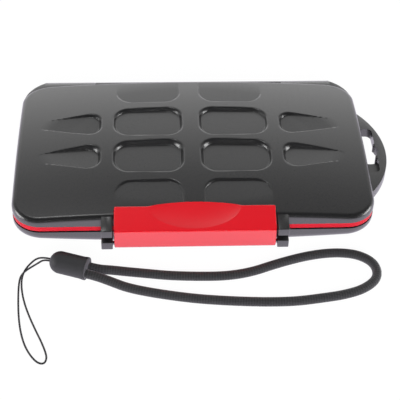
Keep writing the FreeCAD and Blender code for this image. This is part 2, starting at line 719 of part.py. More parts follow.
def make_base_shell():
    block = case_block("base_block", "0", "0", BASE_RIM)
    edge_radius = min(
        size_of("sizes.base_edge_radius"),
        FILLET_SHARE * corner_wall(f"{BASE_RIM} + sizes.foot_cut"),
    )
    skin = fillet_between(
        "base_skin", common("base_domed", block, base_crown("base_bottom", "0")), edge_radius,
        LEVEL_TOLERANCE, size_of(BASE_RIM) - LEVEL_TOLERANCE,
    )
    ear_bottom = f"({BASE_RIM} - sizes.base_ear_height)"
    ear = side_prism("base_ear", (
        (EAR_FRONT, ear_bottom),
        (f"-{WALL_MIDDLE_Y}", ear_bottom),
        (f"-{WALL_MIDDLE_Y}", BASE_RIM),
        (EAR_FRONT, BASE_RIM),
    ), EAR_START, EAR_END)
    barrel = rod_along_x(
        "base_barrel", "sizes.hinge_knuckle_radius", f"(-{BASE_KNUCKLE_END})", BASE_KNUCKLE_END,
        HINGE_Y, HINGE_Z,
    )
    lean = "(sizes.hinge_knuckle_radius * cos(30deg))"
    gusset = side_prism("base_gusset", (
        (WALL_MIDDLE_Y, BASE_RIM),
        (WALL_MIDDLE_Y, f"{BASE_RIM} - sizes.base_gusset_height"),
        (f"{HINGE_Y} + {lean}", f"{HINGE_Z} - sizes.hinge_knuckle_radius / 2"),
        (HINGE_Y, BASE_RIM),
    ), f"(-{BASE_KNUCKLE_END})", BASE_KNUCKLE_END)
    cavity = common(
        "base_cavity", case_block("base_cavity_block", "sizes.wall", "0", f"({BASE_RIM} + {OVERRUN})"),
        base_crown("base_floor", "sizes.base_floor_wall"),
    )
    latch_bore = rod_along_x(
        "base_latch_bore", "sizes.latch_pin_radius + sizes.pin_clearance", f"(-{EAR_END} - {OVERRUN})",
        f"({EAR_END} + {OVERRUN})", LATCH_PIN_Y, LATCH_PIN_Z,
    )
    hinge_bore = rod_along_x(
        "base_hinge_bore", HINGE_BORE, f"({HINGE_PIN_START} - sizes.hinge_pin_setback)",
        f"({BASE_KNUCKLE_END} + {OVERRUN})", HINGE_Y, HINGE_Z,
    )
    solid = fuse("base_solid", [skin, barrel, gusset, make_loop()] + both_sides(ear))
    tools = fuse("base_cuts", [cavity, latch_bore] + both_sides(hinge_bore) + make_loop_slot())
    return cut("base_shell", solid, tools)


def make_seal():
    lip_inset = "(sizes.wall + sizes.seal_lip_gap)"
    inner_inset = f"({lip_inset} + sizes.seal_lip_width)"
    lip_bottom = f"({SEAL_FACE} - sizes.seal_lip_depth)"
    band = case_block("seal_band", "sizes.seal_inset", SEAL_FACE, LID_RIM)
    lip = case_block("seal_lip", lip_inset, lip_bottom, LID_RIM)
    opening = case_block(
        "seal_opening", inner_inset, f"({lip_bottom} - {OVERRUN})", f"({LID_RIM} + {OVERRUN})"
    )
    return cut("lid_seal", fuse("seal_solid", [band, lip]), opening)


def make_latch():
    half_width = "(sizes.latch_width / 2)"
    inner_face = f"({EAR_FRONT} + sizes.latch_plate)"
    tab_top = f"({LATCH_TOP} + sizes.tab_reach * {LATCH_SLOPE})"
    # The tab's underside is level and clears the lid's crown below its tip
    tab_under = f"(sizes.case_height - {TAB_EDGE} ^ 2 / (2 * {CROWN_SHORT}) + sizes.latch_clearance)"
    plate = side_prism("latch_section", (
        (EAR_FRONT, LATCH_PIN_Z),
        (EAR_FRONT, LATCH_FOLD),
        (TAB_EDGE, tab_top),
        (TAB_EDGE, tab_under),
        (LATCH_EDGE, tab_under),
        (LATCH_EDGE, f"{LATCH_TOP} - {LATCH_TOP_PLATE}"),
        (inner_face, f"{LATCH_FOLD} + sizes.latch_plate * {LATCH_SLOPE} - {LATCH_TOP_PLATE}"),
        (inner_face, LATCH_PIN_Z),
    ), f"(-{half_width})", half_width)
    knuckle = rod_along_x(
        "latch_knuckle", "sizes.base_ear_height / 2", f"(-{half_width})", half_width,
        LATCH_PIN_Y, LATCH_PIN_Z,
    )
    bore = rod_along_x(
        "latch_bore", "sizes.latch_pin_radius + sizes.pin_clearance", f"(-{half_width} - {OVERRUN})",
        f"({half_width} + {OVERRUN})", LATCH_PIN_Y, LATCH_PIN_Z,
    )
    # Behind the latch's straight edge only the rounded thumb tab is left
    tab_radius = "((sizes.tab_width ^ 2 / 4 + sizes.tab_reach ^ 2) / (2 * sizes.tab_reach))"
    beyond_edge = box(
        "beyond_edge", f"(-{half_width} - {OVERRUN})", f"({half_width} + {OVERRUN})", LATCH_EDGE,
        f"({TAB_EDGE} + {OVERRUN})", LID_RIM, ABOVE,
    )
    tab = disc("tab_round", tab_radius, "0", f"{TAB_EDGE} - {tab_radius}", f"({LID_RIM} - {OVERRUN})",
               f"({ABOVE} + {OVERRUN})")
    trim = cut("tab_trim", beyond_edge, tab)
    dish = doc.addObject("Part::Ellipsoid", "thumb_dish")
    turn(dish, (1, 0, 0), 10)
    height = f"({DISH_ROUNDING} * sizes.dish_depth)"
    lift = f"({height} - sizes.dish_depth)"
    spread = f"(1 / sqrt(1 - ({lift} / {height}) ^ 2))"
    lean = f"atan({LATCH_SLOPE})"
    bind(
        dish, Radius1=height, Radius2=f"sizes.dish_width / 2 * {spread}",
        Radius3=f"sizes.dish_length / 2 * {spread}", Placement__Rotation__Angle=lean,
    )
    place(dish, "0", f"{LATCH_EDGE} - {lift} * sin({lean})", f"{LATCH_TOP} + {lift} * cos({lean})")
    return cut("latch", fuse("latch_solid", [plate, knuckle]), fuse("latch_cuts", [bore, trim, dish]))


def make_latch_pin():
    end = f"({EAR_END} - sizes.latch_pin_setback)"
    return rod_along_x("latch_pin", "sizes.latch_pin_radius", f"(-{end})", end, LATCH_PIN_Y, LATCH_PIN_Z)


def make_hinge_pins():
    left = rod_along_x(
        "hinge_pin_left", "sizes.hinge_pin_radius", f"(-{HINGE_PIN_END})", f"(-{HINGE_PIN_START})",
        HINGE_Y, HINGE_Z,
    )
    right = rod_along_x(
        "hinge_pin_right", "sizes.hinge_pin_radius", HINGE_PIN_START, HINGE_PIN_END, HINGE_Y, HINGE_Z
    )
    return [left, right]


# Windows spread evenly over a tray, as many as fit with at least a rib between them
def make_windows(name, kind, bottom, top):
    spans = []
    for total, window in ((TRAY_LENGTH, f"sizes.{kind}_length"), (TRAY_DEPTH, f"sizes.{kind}_width")):
        rib = size_of(f"sizes.{kind}_rib")
        count = int((size_of(total) - rib) // (size_of(window) + rib))
        gap = f"(({total} - {count} * {window}) / {count + 1})"
        spans.append([
            (f"({gap} * {index + 1} + {window} * {index} - {total} / 2)", window) for index in range(count)
        ])
    windows = []
    for start, length in spans[0]:
        for front, width in spans[1]:
            windows.append(box(
                f"{name}_window", start, f"({start} + {length})", front, f"({front} + {width})",
                f"({bottom} - {OVERRUN})", f"({top} + {OVERRUN})",
            ))
    return fuse(f"{name}_windows", windows)


# A foam sheet that fills a shell's plan between two levels, shaped to the dome behind it
def foam_sheet(name, bottom, top, dome):
    return common(name, case_block(f"{name}_block", TRAY_INSET, bottom, top), dome)


def make_base_tray():
    gap = "(sizes.base_floor_wall + sizes.tray_floor_gap)"
    floor = foam_sheet("base_tray_floor", "0", CARD_FLOOR, base_crown("base_tray_bottom", gap))
    sheet_above = foam_sheet("base_tray_sheet", CARD_FLOOR, CARD_TOP, base_crown("base_tray_edge", gap))
    windows = make_windows("base_tray", "card_pocket", CARD_FLOOR, CARD_TOP)
    return [floor, cut("base_tray_frame", sheet_above, windows)]


def make_lid_tray():
    gap = "sizes.tray_floor_gap"
    floor = foam_sheet(
        "lid_tray_floor", SMALL_CARD_FLOOR, "sizes.case_height", lid_ceiling("lid_tray_top", gap)
    )
    sheet_below = foam_sheet(
        "lid_tray_sheet", SMALL_CARD_FACE, SMALL_CARD_FLOOR, lid_ceiling("lid_tray_edge", gap)
    )
    windows = make_windows("lid_tray", "small_pocket", SMALL_CARD_FACE, SMALL_CARD_FLOOR)
    return [floor, cut("lid_tray_frame", sheet_below, windows)]


# A bullet along X: round nose with a small flat at its tip, and a lip at its open end
def make_cap():
    nose = doc.addObject("Part::Sphere", "cap_nose")
    bind(nose, Radius="sizes.cap_radius")
    nose_x = "(sqrt(sizes.cap_radius ^ 2 - sizes.cap_tip_radius ^ 2) - sizes.cap_length)"
    place(nose, x=nose_x)
    barrel = rod_along_x("cap_barrel", "sizes.cap_radius", nose_x, "0")
    lip = rod_along_x("cap_rim", "sizes.cap_radius + sizes.cap_lip", "(-sizes.cap_lip_width)", "0")
    reach = f"(sizes.cap_radius + {OVERRUN})"
    past_tip = box(
        "past_tip", f"(-sizes.cap_length - {reach})", "(-sizes.cap_length)", f"(-{reach})", reach,
        f"(-{reach})", reach,
    )
    cap = cut("strap_end_cap", fuse("cap_solid", [nose, barrel, lip]), past_tip)
    turn(cap, (0, 0, 1), size_of("sizes.cap_turn"))
    bind(cap, Placement__Rotation__Angle="sizes.cap_turn")
    place(cap, "sizes.cap_shift", CAP_Y, CAP_Z)
    return cap


# A round tube along straight runs joined by tangent arcs, as wide as the runs allow
def make_tube(name, points, diameter):
    edges = []
    radii = []
    start = points[0]
    for before, corner, after in zip(points, points[1:], points[2:]):
        incoming = (corner - before).normalize()
        outgoing = (after - corner).normalize()
        half_turn = incoming.getAngle(outgoing) / 2
        reach = BEND_SHARE * min(corner.distanceToPoint(before), corner.distanceToPoint(after))
        radius = reach / math.tan(half_turn)
        radii.append(radius)
        inward = (outgoing - incoming).normalize()
        bend_start = corner - incoming * reach
        bend_end = corner + outgoing * reach
        bend_middle = corner + inward * (radius / math.cos(half_turn) - radius)
        edges.append(Part.LineSegment(start, bend_start).toShape())
        edges.append(Part.Arc(bend_start, bend_middle, bend_end).toShape())
        start = bend_end
    edges.append(Part.LineSegment(start, points[-1]).toShape())
    path = Part.Wire(edges)
    ring = Part.Circle(points[0], points[1] - points[0], diameter / 2)
    section = Part.Wire([ring.toShape()])
    tube = doc.addObject("Part::Feature", name)
    tube.Shape = path.makePipeShell([section], True, False)
    tube.Placement = FreeCAD.Placement()
    plain_volume = path.Length * math.pi * diameter ** 2 / 4
    print(f"{name}: length {path.Length:.1f}, volume ratio {tube.Shape.Volume / plain_volume:.4f}")
    print(f"{name}: bend radii", " ".join(f"{radius:.1f}" for radius in radii))
    return tube


# The points of a cord that leaves the cap at one hole and comes back at another beside it
def strap_points(route, diameter, gap, exit_run, drop, cap_station, heading):
    ahead = FreeCAD.Vector(1, 0, 0) * heading
    aside = FreeCAD.Vector(0, 1, 0) * ((diameter + gap) / 2)
    mouth = FreeCAD.Vector(cap_station, 0, -drop)
    spin = FreeCAD.Rotation(FreeCAD.Vector(0, 0, 1), size_of("sizes.cap_turn"))
    cap_end = FreeCAD.Vector(size_of("sizes.cap_shift"), size_of(CAP_Y), size_of(CAP_Z))
    leave = cap_end + spin.multVec(mouth + aside)
    leave_run = cap_end + spin.multVec(mouth + aside + ahead * exit_run)
    enter_run = cap_end + spin.multVec(mouth - aside + ahead * exit_run)
    enter = cap_end + spin.multVec(mouth - aside)
    ears = size_of(EAR_FRONT)
    middle = [FreeCAD.Vector(x, ears + y, diameter / 2 + lift) for x, y, lift in route]
    return [leave, leave_run] + middle + [enter_run, enter]


def make_strap():
    cord = make_tube("strap_cord", strap_points(
        CORD_ROUTE, size_of("sizes.cord_diameter"), size_of("sizes.cord_gap"), CORD_EXIT_RUN,
        size_of("sizes.cord_drop"), 0.0, 1,
    ), size_of("sizes.cord_diameter"))
    string = make_tube("strap_string", strap_points(
        STRING_ROUTE, size_of("sizes.string_diameter"), size_of("sizes.string_gap"), STRING_EXIT_RUN,
        0.0, -size_of("sizes.cap_length"), -1,
    ), size_of("sizes.string_diameter"))
    return [make_cap(), cord, string]


nodes = [make_base_shell(), make_lid_shell(), make_seal(), make_latch(), make_latch_pin()]
nodes += make_hinge_pins() + make_base_tray() + make_lid_tray() + make_strap()
doc.recompute()

for item in doc.Objects:
    if "Invalid" in item.State or "Error" in item.State:
        raise RuntimeError(f"{item.Name} failed: {item.State}")
for node in nodes:
    node.Label = node.Name
    shape = node.Shape
    if shape.isNull() or not shape.isValid():
        raise RuntimeError(f"{node.Name} has no valid shape")
    print(f"{node.Label}: {len(shape.Solids)} solid, {shape.Volume:.1f} mm3")

os.makedirs("parts", exist_ok=True)
for node in nodes:
    node.Shape.exportStep(f"parts/{node.Label}.step")
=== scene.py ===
import math

import bmesh
import bpy
from mathutils import Matrix, Vector


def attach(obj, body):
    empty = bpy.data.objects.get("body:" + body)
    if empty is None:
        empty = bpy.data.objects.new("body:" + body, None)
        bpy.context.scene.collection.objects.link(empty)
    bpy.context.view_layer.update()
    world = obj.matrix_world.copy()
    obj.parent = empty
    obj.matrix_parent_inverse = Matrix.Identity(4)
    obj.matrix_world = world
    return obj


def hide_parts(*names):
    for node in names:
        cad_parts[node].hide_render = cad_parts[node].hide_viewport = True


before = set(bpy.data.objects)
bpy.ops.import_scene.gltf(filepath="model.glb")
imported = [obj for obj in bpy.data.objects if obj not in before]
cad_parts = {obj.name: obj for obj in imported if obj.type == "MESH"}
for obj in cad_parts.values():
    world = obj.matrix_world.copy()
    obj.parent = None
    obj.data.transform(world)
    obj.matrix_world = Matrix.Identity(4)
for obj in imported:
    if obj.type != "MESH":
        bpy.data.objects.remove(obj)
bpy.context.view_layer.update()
mm = 0.001


# Scene helpers

def deselectAll():
    if bpy.context.object and bpy.context.object.mode != "OBJECT":
        bpy.ops.object.mode_set(mode="OBJECT")
    bpy.ops.object.select_all(action="DESELECT")


def pick(piece):
    deselectAll()
    piece.select_set(True)
    bpy.context.view_layer.objects.active = piece


def hexColour(text):
    channels = [int(text[i:i + 2], 16) / 255 for i in (1, 3, 5)]
    linear = [c / 12.92 if c <= 0.04045 else ((c + 0.055) / 1.055) ** 2.4 for c in channels]
    return (*linear, 1.0)


def addNode(tree, kind, settings=None, links=None):
    node = tree.nodes.new(kind)
    for name, value in (settings or {}).items():
        if isinstance(name, int) or name in node.inputs:
            node.inputs[name].default_value = value
        else:
            setattr(node, name, value)
    for name, source in (links or {}).items():
        tree.links.new(source, node.inputs[name])
    return node


def newMaterial(name, settings):
    material = bpy.data.materials.new(name)
    material.use_nodes = True
    shader = material.node_tree.nodes["Principled BSDF"]
    for socket, value in settings.items():
        shader.inputs[socket].default_value = value
    return material, material.node_tree, shader


def mixColours(tree, factor, low, high):
    mix = addNode(tree, "ShaderNodeMix", {"data_type": "RGBA"})
    tree.links.new(factor, mix.inputs["Factor"])
    mix.inputs["A"].default_value = hexColour(low)
    mix.inputs["B"].default_value = hexColour(high)
    return mix.outputs["Result"]


# Camera

cameraSettings = {
    "focalLength": 105.98,  # on a 36 mm sensor
    "place": (-16.07, -346.55, 311.34),  # mm
    "azimuth": -3.30,
    "elevation": 43.03,
    "roll": 1.54,
}


def makeCamera(s):
    bpy.ops.object.camera_add()
    camera = bpy.context.object
    camera.data.lens = s["focalLength"]
    camera.data.sensor_fit = "HORIZONTAL"
    camera.data.sensor_width = 36
    turned = (
        Matrix.Rotation(math.radians(s["azimuth"]), 4, "Z")
        @ Matrix.Rotation(math.radians(90 - s["elevation"]), 4, "X")
        @ Matrix.Rotation(math.radians(s["roll"]), 4, "Z")
    )
    camera.matrix_world = Matrix.Translation(Vector(s["place"]) * mm) @ turned
    bpy.context.scene.camera = camera


makeCamera(cameraSettings)
print("camera ready")


# Floor, backdrop and light

studioSettings = {
    "floorSize": 4.0,  # m
    "floorColour": "#F4F4F4",
    "floorGlow": "#F6F0FF",
    "floorGlowShare": 0.93,  # the rest shows the shadows
    "floorSeen": 1.04,  # with the shadows' share this comes to white
    "floorMirrored": 1.48,
    # The sweep behind the table: height of a direction, and how bright the sweep is there
    "sweep": ((0.0, 2.4), (0.2, 1.65), (0.42, 1.25), (0.68, 0.64), (0.86, 0.19), (1.0, 0.6)),
    "frontShare": 0.08,  # of that brightness on the camera's side
    "frontEdge": (-0.15, 0.45),  # depth of a direction over which it comes up
    "sideShare": 0.3,  # of it to the left and right
    "sideEdge": (0.3, 0.75),  # sideways part of a direction over which it goes down
    "leftBox": {"place": (-0.75, -0.12, 0.16), "size": (0.4, 0.24), "power": 2.0},
    "rightBox": {"place": (0.75, -0.12, 0.16), "size": (0.4, 0.24), "power": 2.0},
    "dishBox": {"place": (-0.24, 0.17, 0.95), "size": (0.16, 0.16), "power": 0.7},
    "frontFill": {"place": (0.0, -0.86, 0.44), "size": (0.5, 0.3), "power": 7.9},
}


def makeSoftbox(name, s):
    bpy.ops.object.light_add(type="AREA", location=s["place"])
    lamp = bpy.context.object
    lamp.name = name
    lamp.data.shape = "RECTANGLE"
    lamp.data.size, lamp.data.size_y = s["size"]
    lamp.data.energy = s["power"]
    lamp.rotation_euler = (-Vector(s["place"])).to_track_quat("-Z", "Y").to_euler()
    return lamp


def makeFloor(s):
    bpy.ops.mesh.primitive_plane_add(size=s["floorSize"], location=(0, 0, 0))
    floor = bpy.context.object
    floor.name = "floor"
    material, tree, shader = newMaterial("white_paper_floor", {"Roughness": 0.9})
    shader.inputs["Base Color"].default_value = hexColour(s["floorColour"])
    path = addNode(tree, "ShaderNodeLightPath")
    seen = path.outputs["Is Camera Ray"]
    shown = addNode(tree, "ShaderNodeMath", {"operation": "ADD"}, {
        0: seen, 1: path.outputs["Is Glossy Ray"],
    })
    shown = addNode(tree, "ShaderNodeMath", {"operation": "ADD"}, {
        0: shown.outputs["Value"], 1: path.outputs["Is Transmission Ray"],
    })
    share = addNode(tree, "ShaderNodeMapRange", {"To Max": s["floorGlowShare"]}, {
        "Value": shown.outputs["Value"],
    })
    strength = addNode(tree, "ShaderNodeMapRange", {
        "To Min": s["floorMirrored"], "To Max": s["floorSeen"],
    }, {"Value": seen})
    glow = addNode(tree, "ShaderNodeEmission", None, {
        "Color": mixColours(tree, seen, s["floorGlow"], "#FFFFFF"),
        "Strength": strength.outputs["Result"],
    })
    mix = addNode(tree, "ShaderNodeMixShader", None, {
        0: share.outputs["Result"], 1: shader.outputs["BSDF"], 2: glow.outputs["Emission"],
    })
    tree.links.new(mix.outputs["Shader"], tree.nodes["Material Output"].inputs["Surface"])
    floor.data.materials.append(material)


# Bright behind the case and dark on the camera's side, and plain white where the camera sees it
def makeSweep(s):
    world = bpy.data.worlds.new("studio")
    bpy.context.scene.world = world
    world.use_nodes = True
    tree = world.node_tree
    place = addNode(tree, "ShaderNodeTexCoord")
    split = addNode(tree, "ShaderNodeSeparateXYZ", None, {"Vector": place.outputs["Generated"]})
    ramp = addNode(tree, "ShaderNodeFloatCurve", None, {"Value": split.outputs["Z"]})
    most = max(level for _, level in s["sweep"])
    curve = ramp.mapping.curves[0]
    for point in s["sweep"][1:-1]:
        curve.points.new(0.5, 0.5)
    for point, (height, level) in zip(curve.points, s["sweep"]):
        point.location = (height, level / most)
    ramp.mapping.update()
    side = addNode(tree, "ShaderNodeMapRange", {
        "interpolation_type": "SMOOTHSTEP",
        "From Min": s["frontEdge"][0], "From Max": s["frontEdge"][1],
        "To Min": most * s["frontShare"], "To Max": most,
    }, {"Value": split.outputs["Y"]})
    aside = addNode(tree, "ShaderNodeMath", {"operation": "ABSOLUTE"}, {0: split.outputs["X"]})
    narrow = addNode(tree, "ShaderNodeMapRange", {
        "interpolation_type": "SMOOTHSTEP",
        "From Min": s["sideEdge"][0], "From Max": s["sideEdge"][1],
        "To Min": 1.0, "To Max": s["sideShare"],
    }, {"Value": aside.outputs["Value"]})
    level = addNode(tree, "ShaderNodeMath", {"operation": "MULTIPLY"}, {
        0: ramp.outputs["Value"], 1: side.outputs["Result"],
    })
    level = addNode(tree, "ShaderNodeMath", {"operation": "MULTIPLY"}, {
        0: level.outputs["Value"], 1: narrow.outputs["Result"],
    })
    sweep = tree.nodes["Background"]
    sweep.inputs["Color"].default_value = hexColour("#FFFFFF")
    tree.links.new(level.outputs["Value"], sweep.inputs["Strength"])
    white = addNode(tree, "ShaderNodeBackground", {"Color": hexColour("#FFFFFF"), "Strength": 1.0})
    path = addNode(tree, "ShaderNodeLightPath")
    mix = addNode(tree, "ShaderNodeMixShader", None, {
        0: path.outputs["Is Camera Ray"], 1: sweep.outputs["Background"], 2: white.outputs["Background"],
    })
    tree.links.new(mix.outputs["Shader"], tree.nodes["World Output"].inputs["Surface"])


def makeStudio(s):
    makeFloor(s)
    makeSweep(s)
    for name in ("leftBox", "rightBox", "dishBox"):
        makeSoftbox(name, s[name])
    # Fills the front without a mirror image of its own
    makeSoftbox("frontFill", s["frontFill"]).visible_glossy = False
    bpy.context.scene.view_settings.view_transform = "Standard"


makeStudio(studioSettings)
print("studio ready")


# Materials

def objectNoise(tree, grain):
    place = addNode(tree, "ShaderNodeTexCoord")
    return addNode(tree, "ShaderNodeTexNoise", {"Scale": 1 / grain, "Detail": 3.0}, {
        "Vector": place.outputs["Object"],
    })


def addBump(tree, shader, height, depth):
    bump = addNode(tree, "ShaderNodeBump", {"Strength": 1.0, "Distance": depth}, {"Height": height})
    tree.links.new(bump.outputs["Normal"], shader.inputs["Normal"])


# Moulded ABS from a spark-eroded tool: satin, with a grain that is felt more than seen
def makeSatinPlastic(name, dark, light, roughness, specular, grain):
    material, tree, shader = newMaterial(name, {"IOR": 1.58, "Specular IOR Level": specular})
    clouds = objectNoise(tree, 9 * mm)
    shader.inputs["Base Color"].default_value = hexColour(dark)
    tree.links.new(mixColours(tree, clouds.outputs["Fac"], dark, light), shader.inputs["Base Color"])
    spark = objectNoise(tree, grain)
    gloss = addNode(tree, "ShaderNodeMapRange", {
        "From Min": 0.3, "From Max": 0.7, "To Min": roughness - 0.05, "To Max": roughness + 0.05,
    }, {"Value": spark.outputs["Fac"]})
    tree.links.new(gloss.outputs["Result"], shader.inputs["Roughness"])
    addBump(tree, shader, spark.outputs["Fac"], 0.003 * mm)
    return material


# Woven polyester: two sets of yarn cross on the slant, dull black with a thread sheen
# A string has one set, and so a plain twist
def makeBraid(name, dark, light, yarnsAround, pitch, yarnSets, depth):
    material, tree, shader = newMaterial(name, {"Roughness": 0.62, "Sheen Weight": 0.25})
    shader.inputs["Sheen Roughness"].default_value = 0.4
    uv = addNode(tree, "ShaderNodeTexCoord")
    split = addNode(tree, "ShaderNodeSeparateXYZ", None, {"Vector": uv.outputs["UV"]})
    turns = addNode(tree, "ShaderNodeMath", {"operation": "MULTIPLY", 1: yarnsAround}, {
        0: split.outputs["X"],
    })
    rows = addNode(tree, "ShaderNodeMath", {"operation": "MULTIPLY", 1: 1 / pitch}, {
        0: split.outputs["Y"],
    })
    waves = []
    for operation in ("ADD", "SUBTRACT")[:yarnSets]:
        phase = addNode(tree, "ShaderNodeMath", {"operation": operation}, {
            0: rows.outputs["Value"], 1: turns.outputs["Value"],
        })
        angle = addNode(tree, "ShaderNodeMath", {"operation": "MULTIPLY", 1: 2 * math.pi}, {
            0: phase.outputs["Value"],
        })
        waves.append(addNode(tree, "ShaderNodeMath", {"operation": "SINE"}, {0: angle.outputs["Value"]}))
    if yarnSets == 2:
        weave = addNode(tree, "ShaderNodeMath", {"operation": "MULTIPLY"}, {
            0: waves[0].outputs["Value"], 1: waves[1].outputs["Value"],
        })
    else:
        weave = waves[0]
    height = addNode(tree, "ShaderNodeMapRange", {"From Min": -1.0, "From Max": 1.0}, {
        "Value": weave.outputs["Value"],
    })
    # The yarns' crests are painted lighter and the grooves between them darker: painted highlight and painted
    # shade that follow the bump
    tree.links.new(mixColours(tree, height.outputs["Result"], dark, light), shader.inputs["Base Color"])
    addBump(tree, shader, height.outputs["Result"], depth)
    return material


# Silicone rubber: soft matte red that scatters a little light
def makeSilicone(name, dark, light):
    material, tree, shader = newMaterial(name, {"Roughness": 0.5, "IOR": 1.41, "Specular IOR Level": 0.35})
    clouds = objectNoise(tree, 4 * mm)
    tree.links.new(mixColours(tree, clouds.outputs["Fac"], dark, light), shader.inputs["Base Color"])
    dust = objectNoise(tree, 0.3 * mm)
    addBump(tree, shader, dust.outputs["Fac"], 0.008 * mm)
    return material


# Drawn steel wire: bright, with fine lines along its length
def makeSteel(name, colour):
    material, tree, shader = newMaterial(name, {"Metallic": 1.0})
    shader.inputs["Base Color"].default_value = hexColour(colour)
    place = addNode(tree, "ShaderNodeTexCoord")
    # Lines 0.25 mm apart and 50 mm long
    along = addNode(tree, "ShaderNodeMapping", {"Scale": (20.0, 4000.0, 4000.0)}, {
        "Vector": place.outputs["Object"],
    })
    lines = addNode(tree, "ShaderNodeTexNoise", {"Scale": 1.0, "Detail": 2.0}, {
        "Vector": along.outputs["Vector"],
    })
    gloss = addNode(tree, "ShaderNodeMapRange", {"To Min": 0.22, "To Max": 0.42}, {
        "Value": lines.outputs["Fac"],
    })
    tree.links.new(gloss.outputs["Result"], shader.inputs["Roughness"])
    return material


# Closed-cell EVA foam, die-cut: dull black with a skin of small cells
def makeFoam(name, dark, light):
    material, tree, shader = newMaterial(name, {"Roughness": 0.85, "Specular IOR Level": 0.3})
    place = addNode(tree, "ShaderNodeTexCoord")
    cells = addNode(tree, "ShaderNodeTexVoronoi", {"Scale": 1 / (0.6 * mm)}, {
        "Vector": place.outputs["Object"],
    })
    # Each cell is painted darker in its hollow middle and lighter towards its walls: painted shade that
    # follows the bump
    tree.links.new(mixColours(tree, cells.outputs["Distance"], dark, light), shader.inputs["Base Color"])
    addBump(tree, shader, cells.outputs["Distance"], 0.06 * mm)
    return material


shellPlastic = makeSatinPlastic("abs_satin_black", "#1B1B1C", "#1E1E1F", 0.3, 1.0, 0.14 * mm)
latchPlastic = makeSatinPlastic("abs_satin_red", "#E00C1E", "#E30E20", 0.23, 1.0, 0.14 * mm)
capPlastic = makeSatinPlastic("nylon_satin_black", "#303032", "#343436", 0.55, 0.3, 0.14 * mm)
sealSilicone = makeSilicone("silicone_red", "#D2192B", "#D82134")
pinSteel = makeSteel("drawn_steel", "#B8B9BC")
trayFoam = makeFoam("eva_foam_black", "#1B1B1C", "#2A2A2B")
cordBraid = makeBraid("polyester_braid_black", "#1C1C1D", "#3C3C3E", 10, 1.9 * mm, 2, 0.09 * mm)
stringTwist = makeBraid("polyester_twist_black", "#121213", "#343436", 2, 1.2 * mm, 1, 0.06 * mm)
print("materials ready")


# Modelling helpers, in millimetres

sharpAngle = 32  # degrees, past which an edge is rounded or shaded sharp


def finishPiece(piece, material, body, node):
    pick(piece)
    bpy.ops.object.transform_apply(location=True, rotation=True, scale=True)
    piece.data.materials.clear()
    piece.data.materials.append(material)
    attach(piece, body)
    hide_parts(node)
    return piece


def startNgon(name, points):
    deselectAll()
    bpy.ops.mesh.primitive_circle_add(vertices=len(points), radius=mm, fill_type="NGON")
    piece = bpy.context.object
    piece.name = name
    for vertex, point in zip(piece.data.vertices, points):
        vertex.co = Vector(point) * mm
    return piece


def outwardNormals(piece):
    pick(piece)
    bpy.ops.object.mode_set(mode="EDIT")
    bpy.ops.mesh.select_all(action="SELECT")
    bpy.ops.mesh.normals_make_consistent(inside=False)
    bpy.ops.object.mode_set(mode="OBJECT")


def extrudeNgon(name, points, shift):
    piece = startNgon(name, points)
    bpy.ops.object.mode_set(mode="EDIT")
    bpy.ops.mesh.select_all(action="SELECT")
    bpy.ops.mesh.extrude_region_move(TRANSFORM_OT_translate={"value": tuple(Vector(shift) * mm)})
    bpy.ops.object.mode_set(mode="OBJECT")
    outwardNormals(piece)
    return piece


# A bar along X with a section in Y and Z
def sideBar(name, section, start, end):
    return extrudeNgon(name, [(start, y, z) for y, z in section], (end - start, 0, 0))


# A plate with an outline in X and Y
def planPlate(name, outline, bottom, top):
    return extrudeNgon(name, [(x, y, bottom) for x, y in outline], (0, 0, top - bottom))


def applyModifier(piece, kind, **settings):
    pick(piece)
    modifier = piece.modifiers.new(kind.lower(), kind)
    for name, value in settings.items():
        setattr(modifier, name, value)
    bpy.ops.object.modifier_apply(modifier=modifier.name)


def roundEdges(piece, width, segments=3, clamp=True):
    applyModifier(
        piece, "BEVEL", width=width * mm, segments=segments, limit_method="ANGLE",
        angle_limit=math.radians(sharpAngle), use_clamp_overlap=clamp,
    )


def combine(piece, operation, *tools):
    for tool in tools:
        applyModifier(piece, "BOOLEAN", operation=operation, solver="EXACT", object=tool)
        bpy.data.objects.remove(tool)
    return piece


# Pieces that lie apart from each other, as one
def joined(*pieces):
    deselectAll()
    for piece in pieces:
        piece.select_set(True)
    bpy.context.view_layer.objects.active = pieces[0]
    bpy.ops.object.join()
    return pieces[0]


def mirrorCopy(piece):
    copy = piece.copy()
    copy.data = piece.data.copy()
    bpy.context.scene.collection.objects.link(copy)
    for vertex in copy.data.vertices:
        vertex.co.x = -vertex.co.x
    copy.data.flip_normals()
    return copy


def bothSides(piece):
    return piece, mirrorCopy(piece)


def smooth(piece, angle=sharpAngle):
    pick(piece)
    bpy.ops.object.shade_smooth_by_angle(angle=math.radians(angle))


def rod(name, radius, start, end, y, z, rounding=0.0):
    deselectAll()
    bpy.ops.mesh.primitive_cylinder_add(
        vertices=48, radius=radius * mm, depth=(end - start) * mm,
        location=((start + end) / 2 * mm, y * mm, z * mm), rotation=(0, math.pi / 2, 0),
    )
    piece = bpy.context.object
    piece.name = name
    bpy.ops.object.transform_apply(location=True, rotation=True, scale=True)
    if rounding:
        roundEdges(piece, rounding)
    return piece


def arc(centreX, centreY, radius, first, last, steps):
    angles = [math.radians(first + (last - first) * i / steps) for i in range(steps + 1)]
    return [(centreX + radius * math.cos(a), centreY + radius * math.sin(a)) for a in angles]


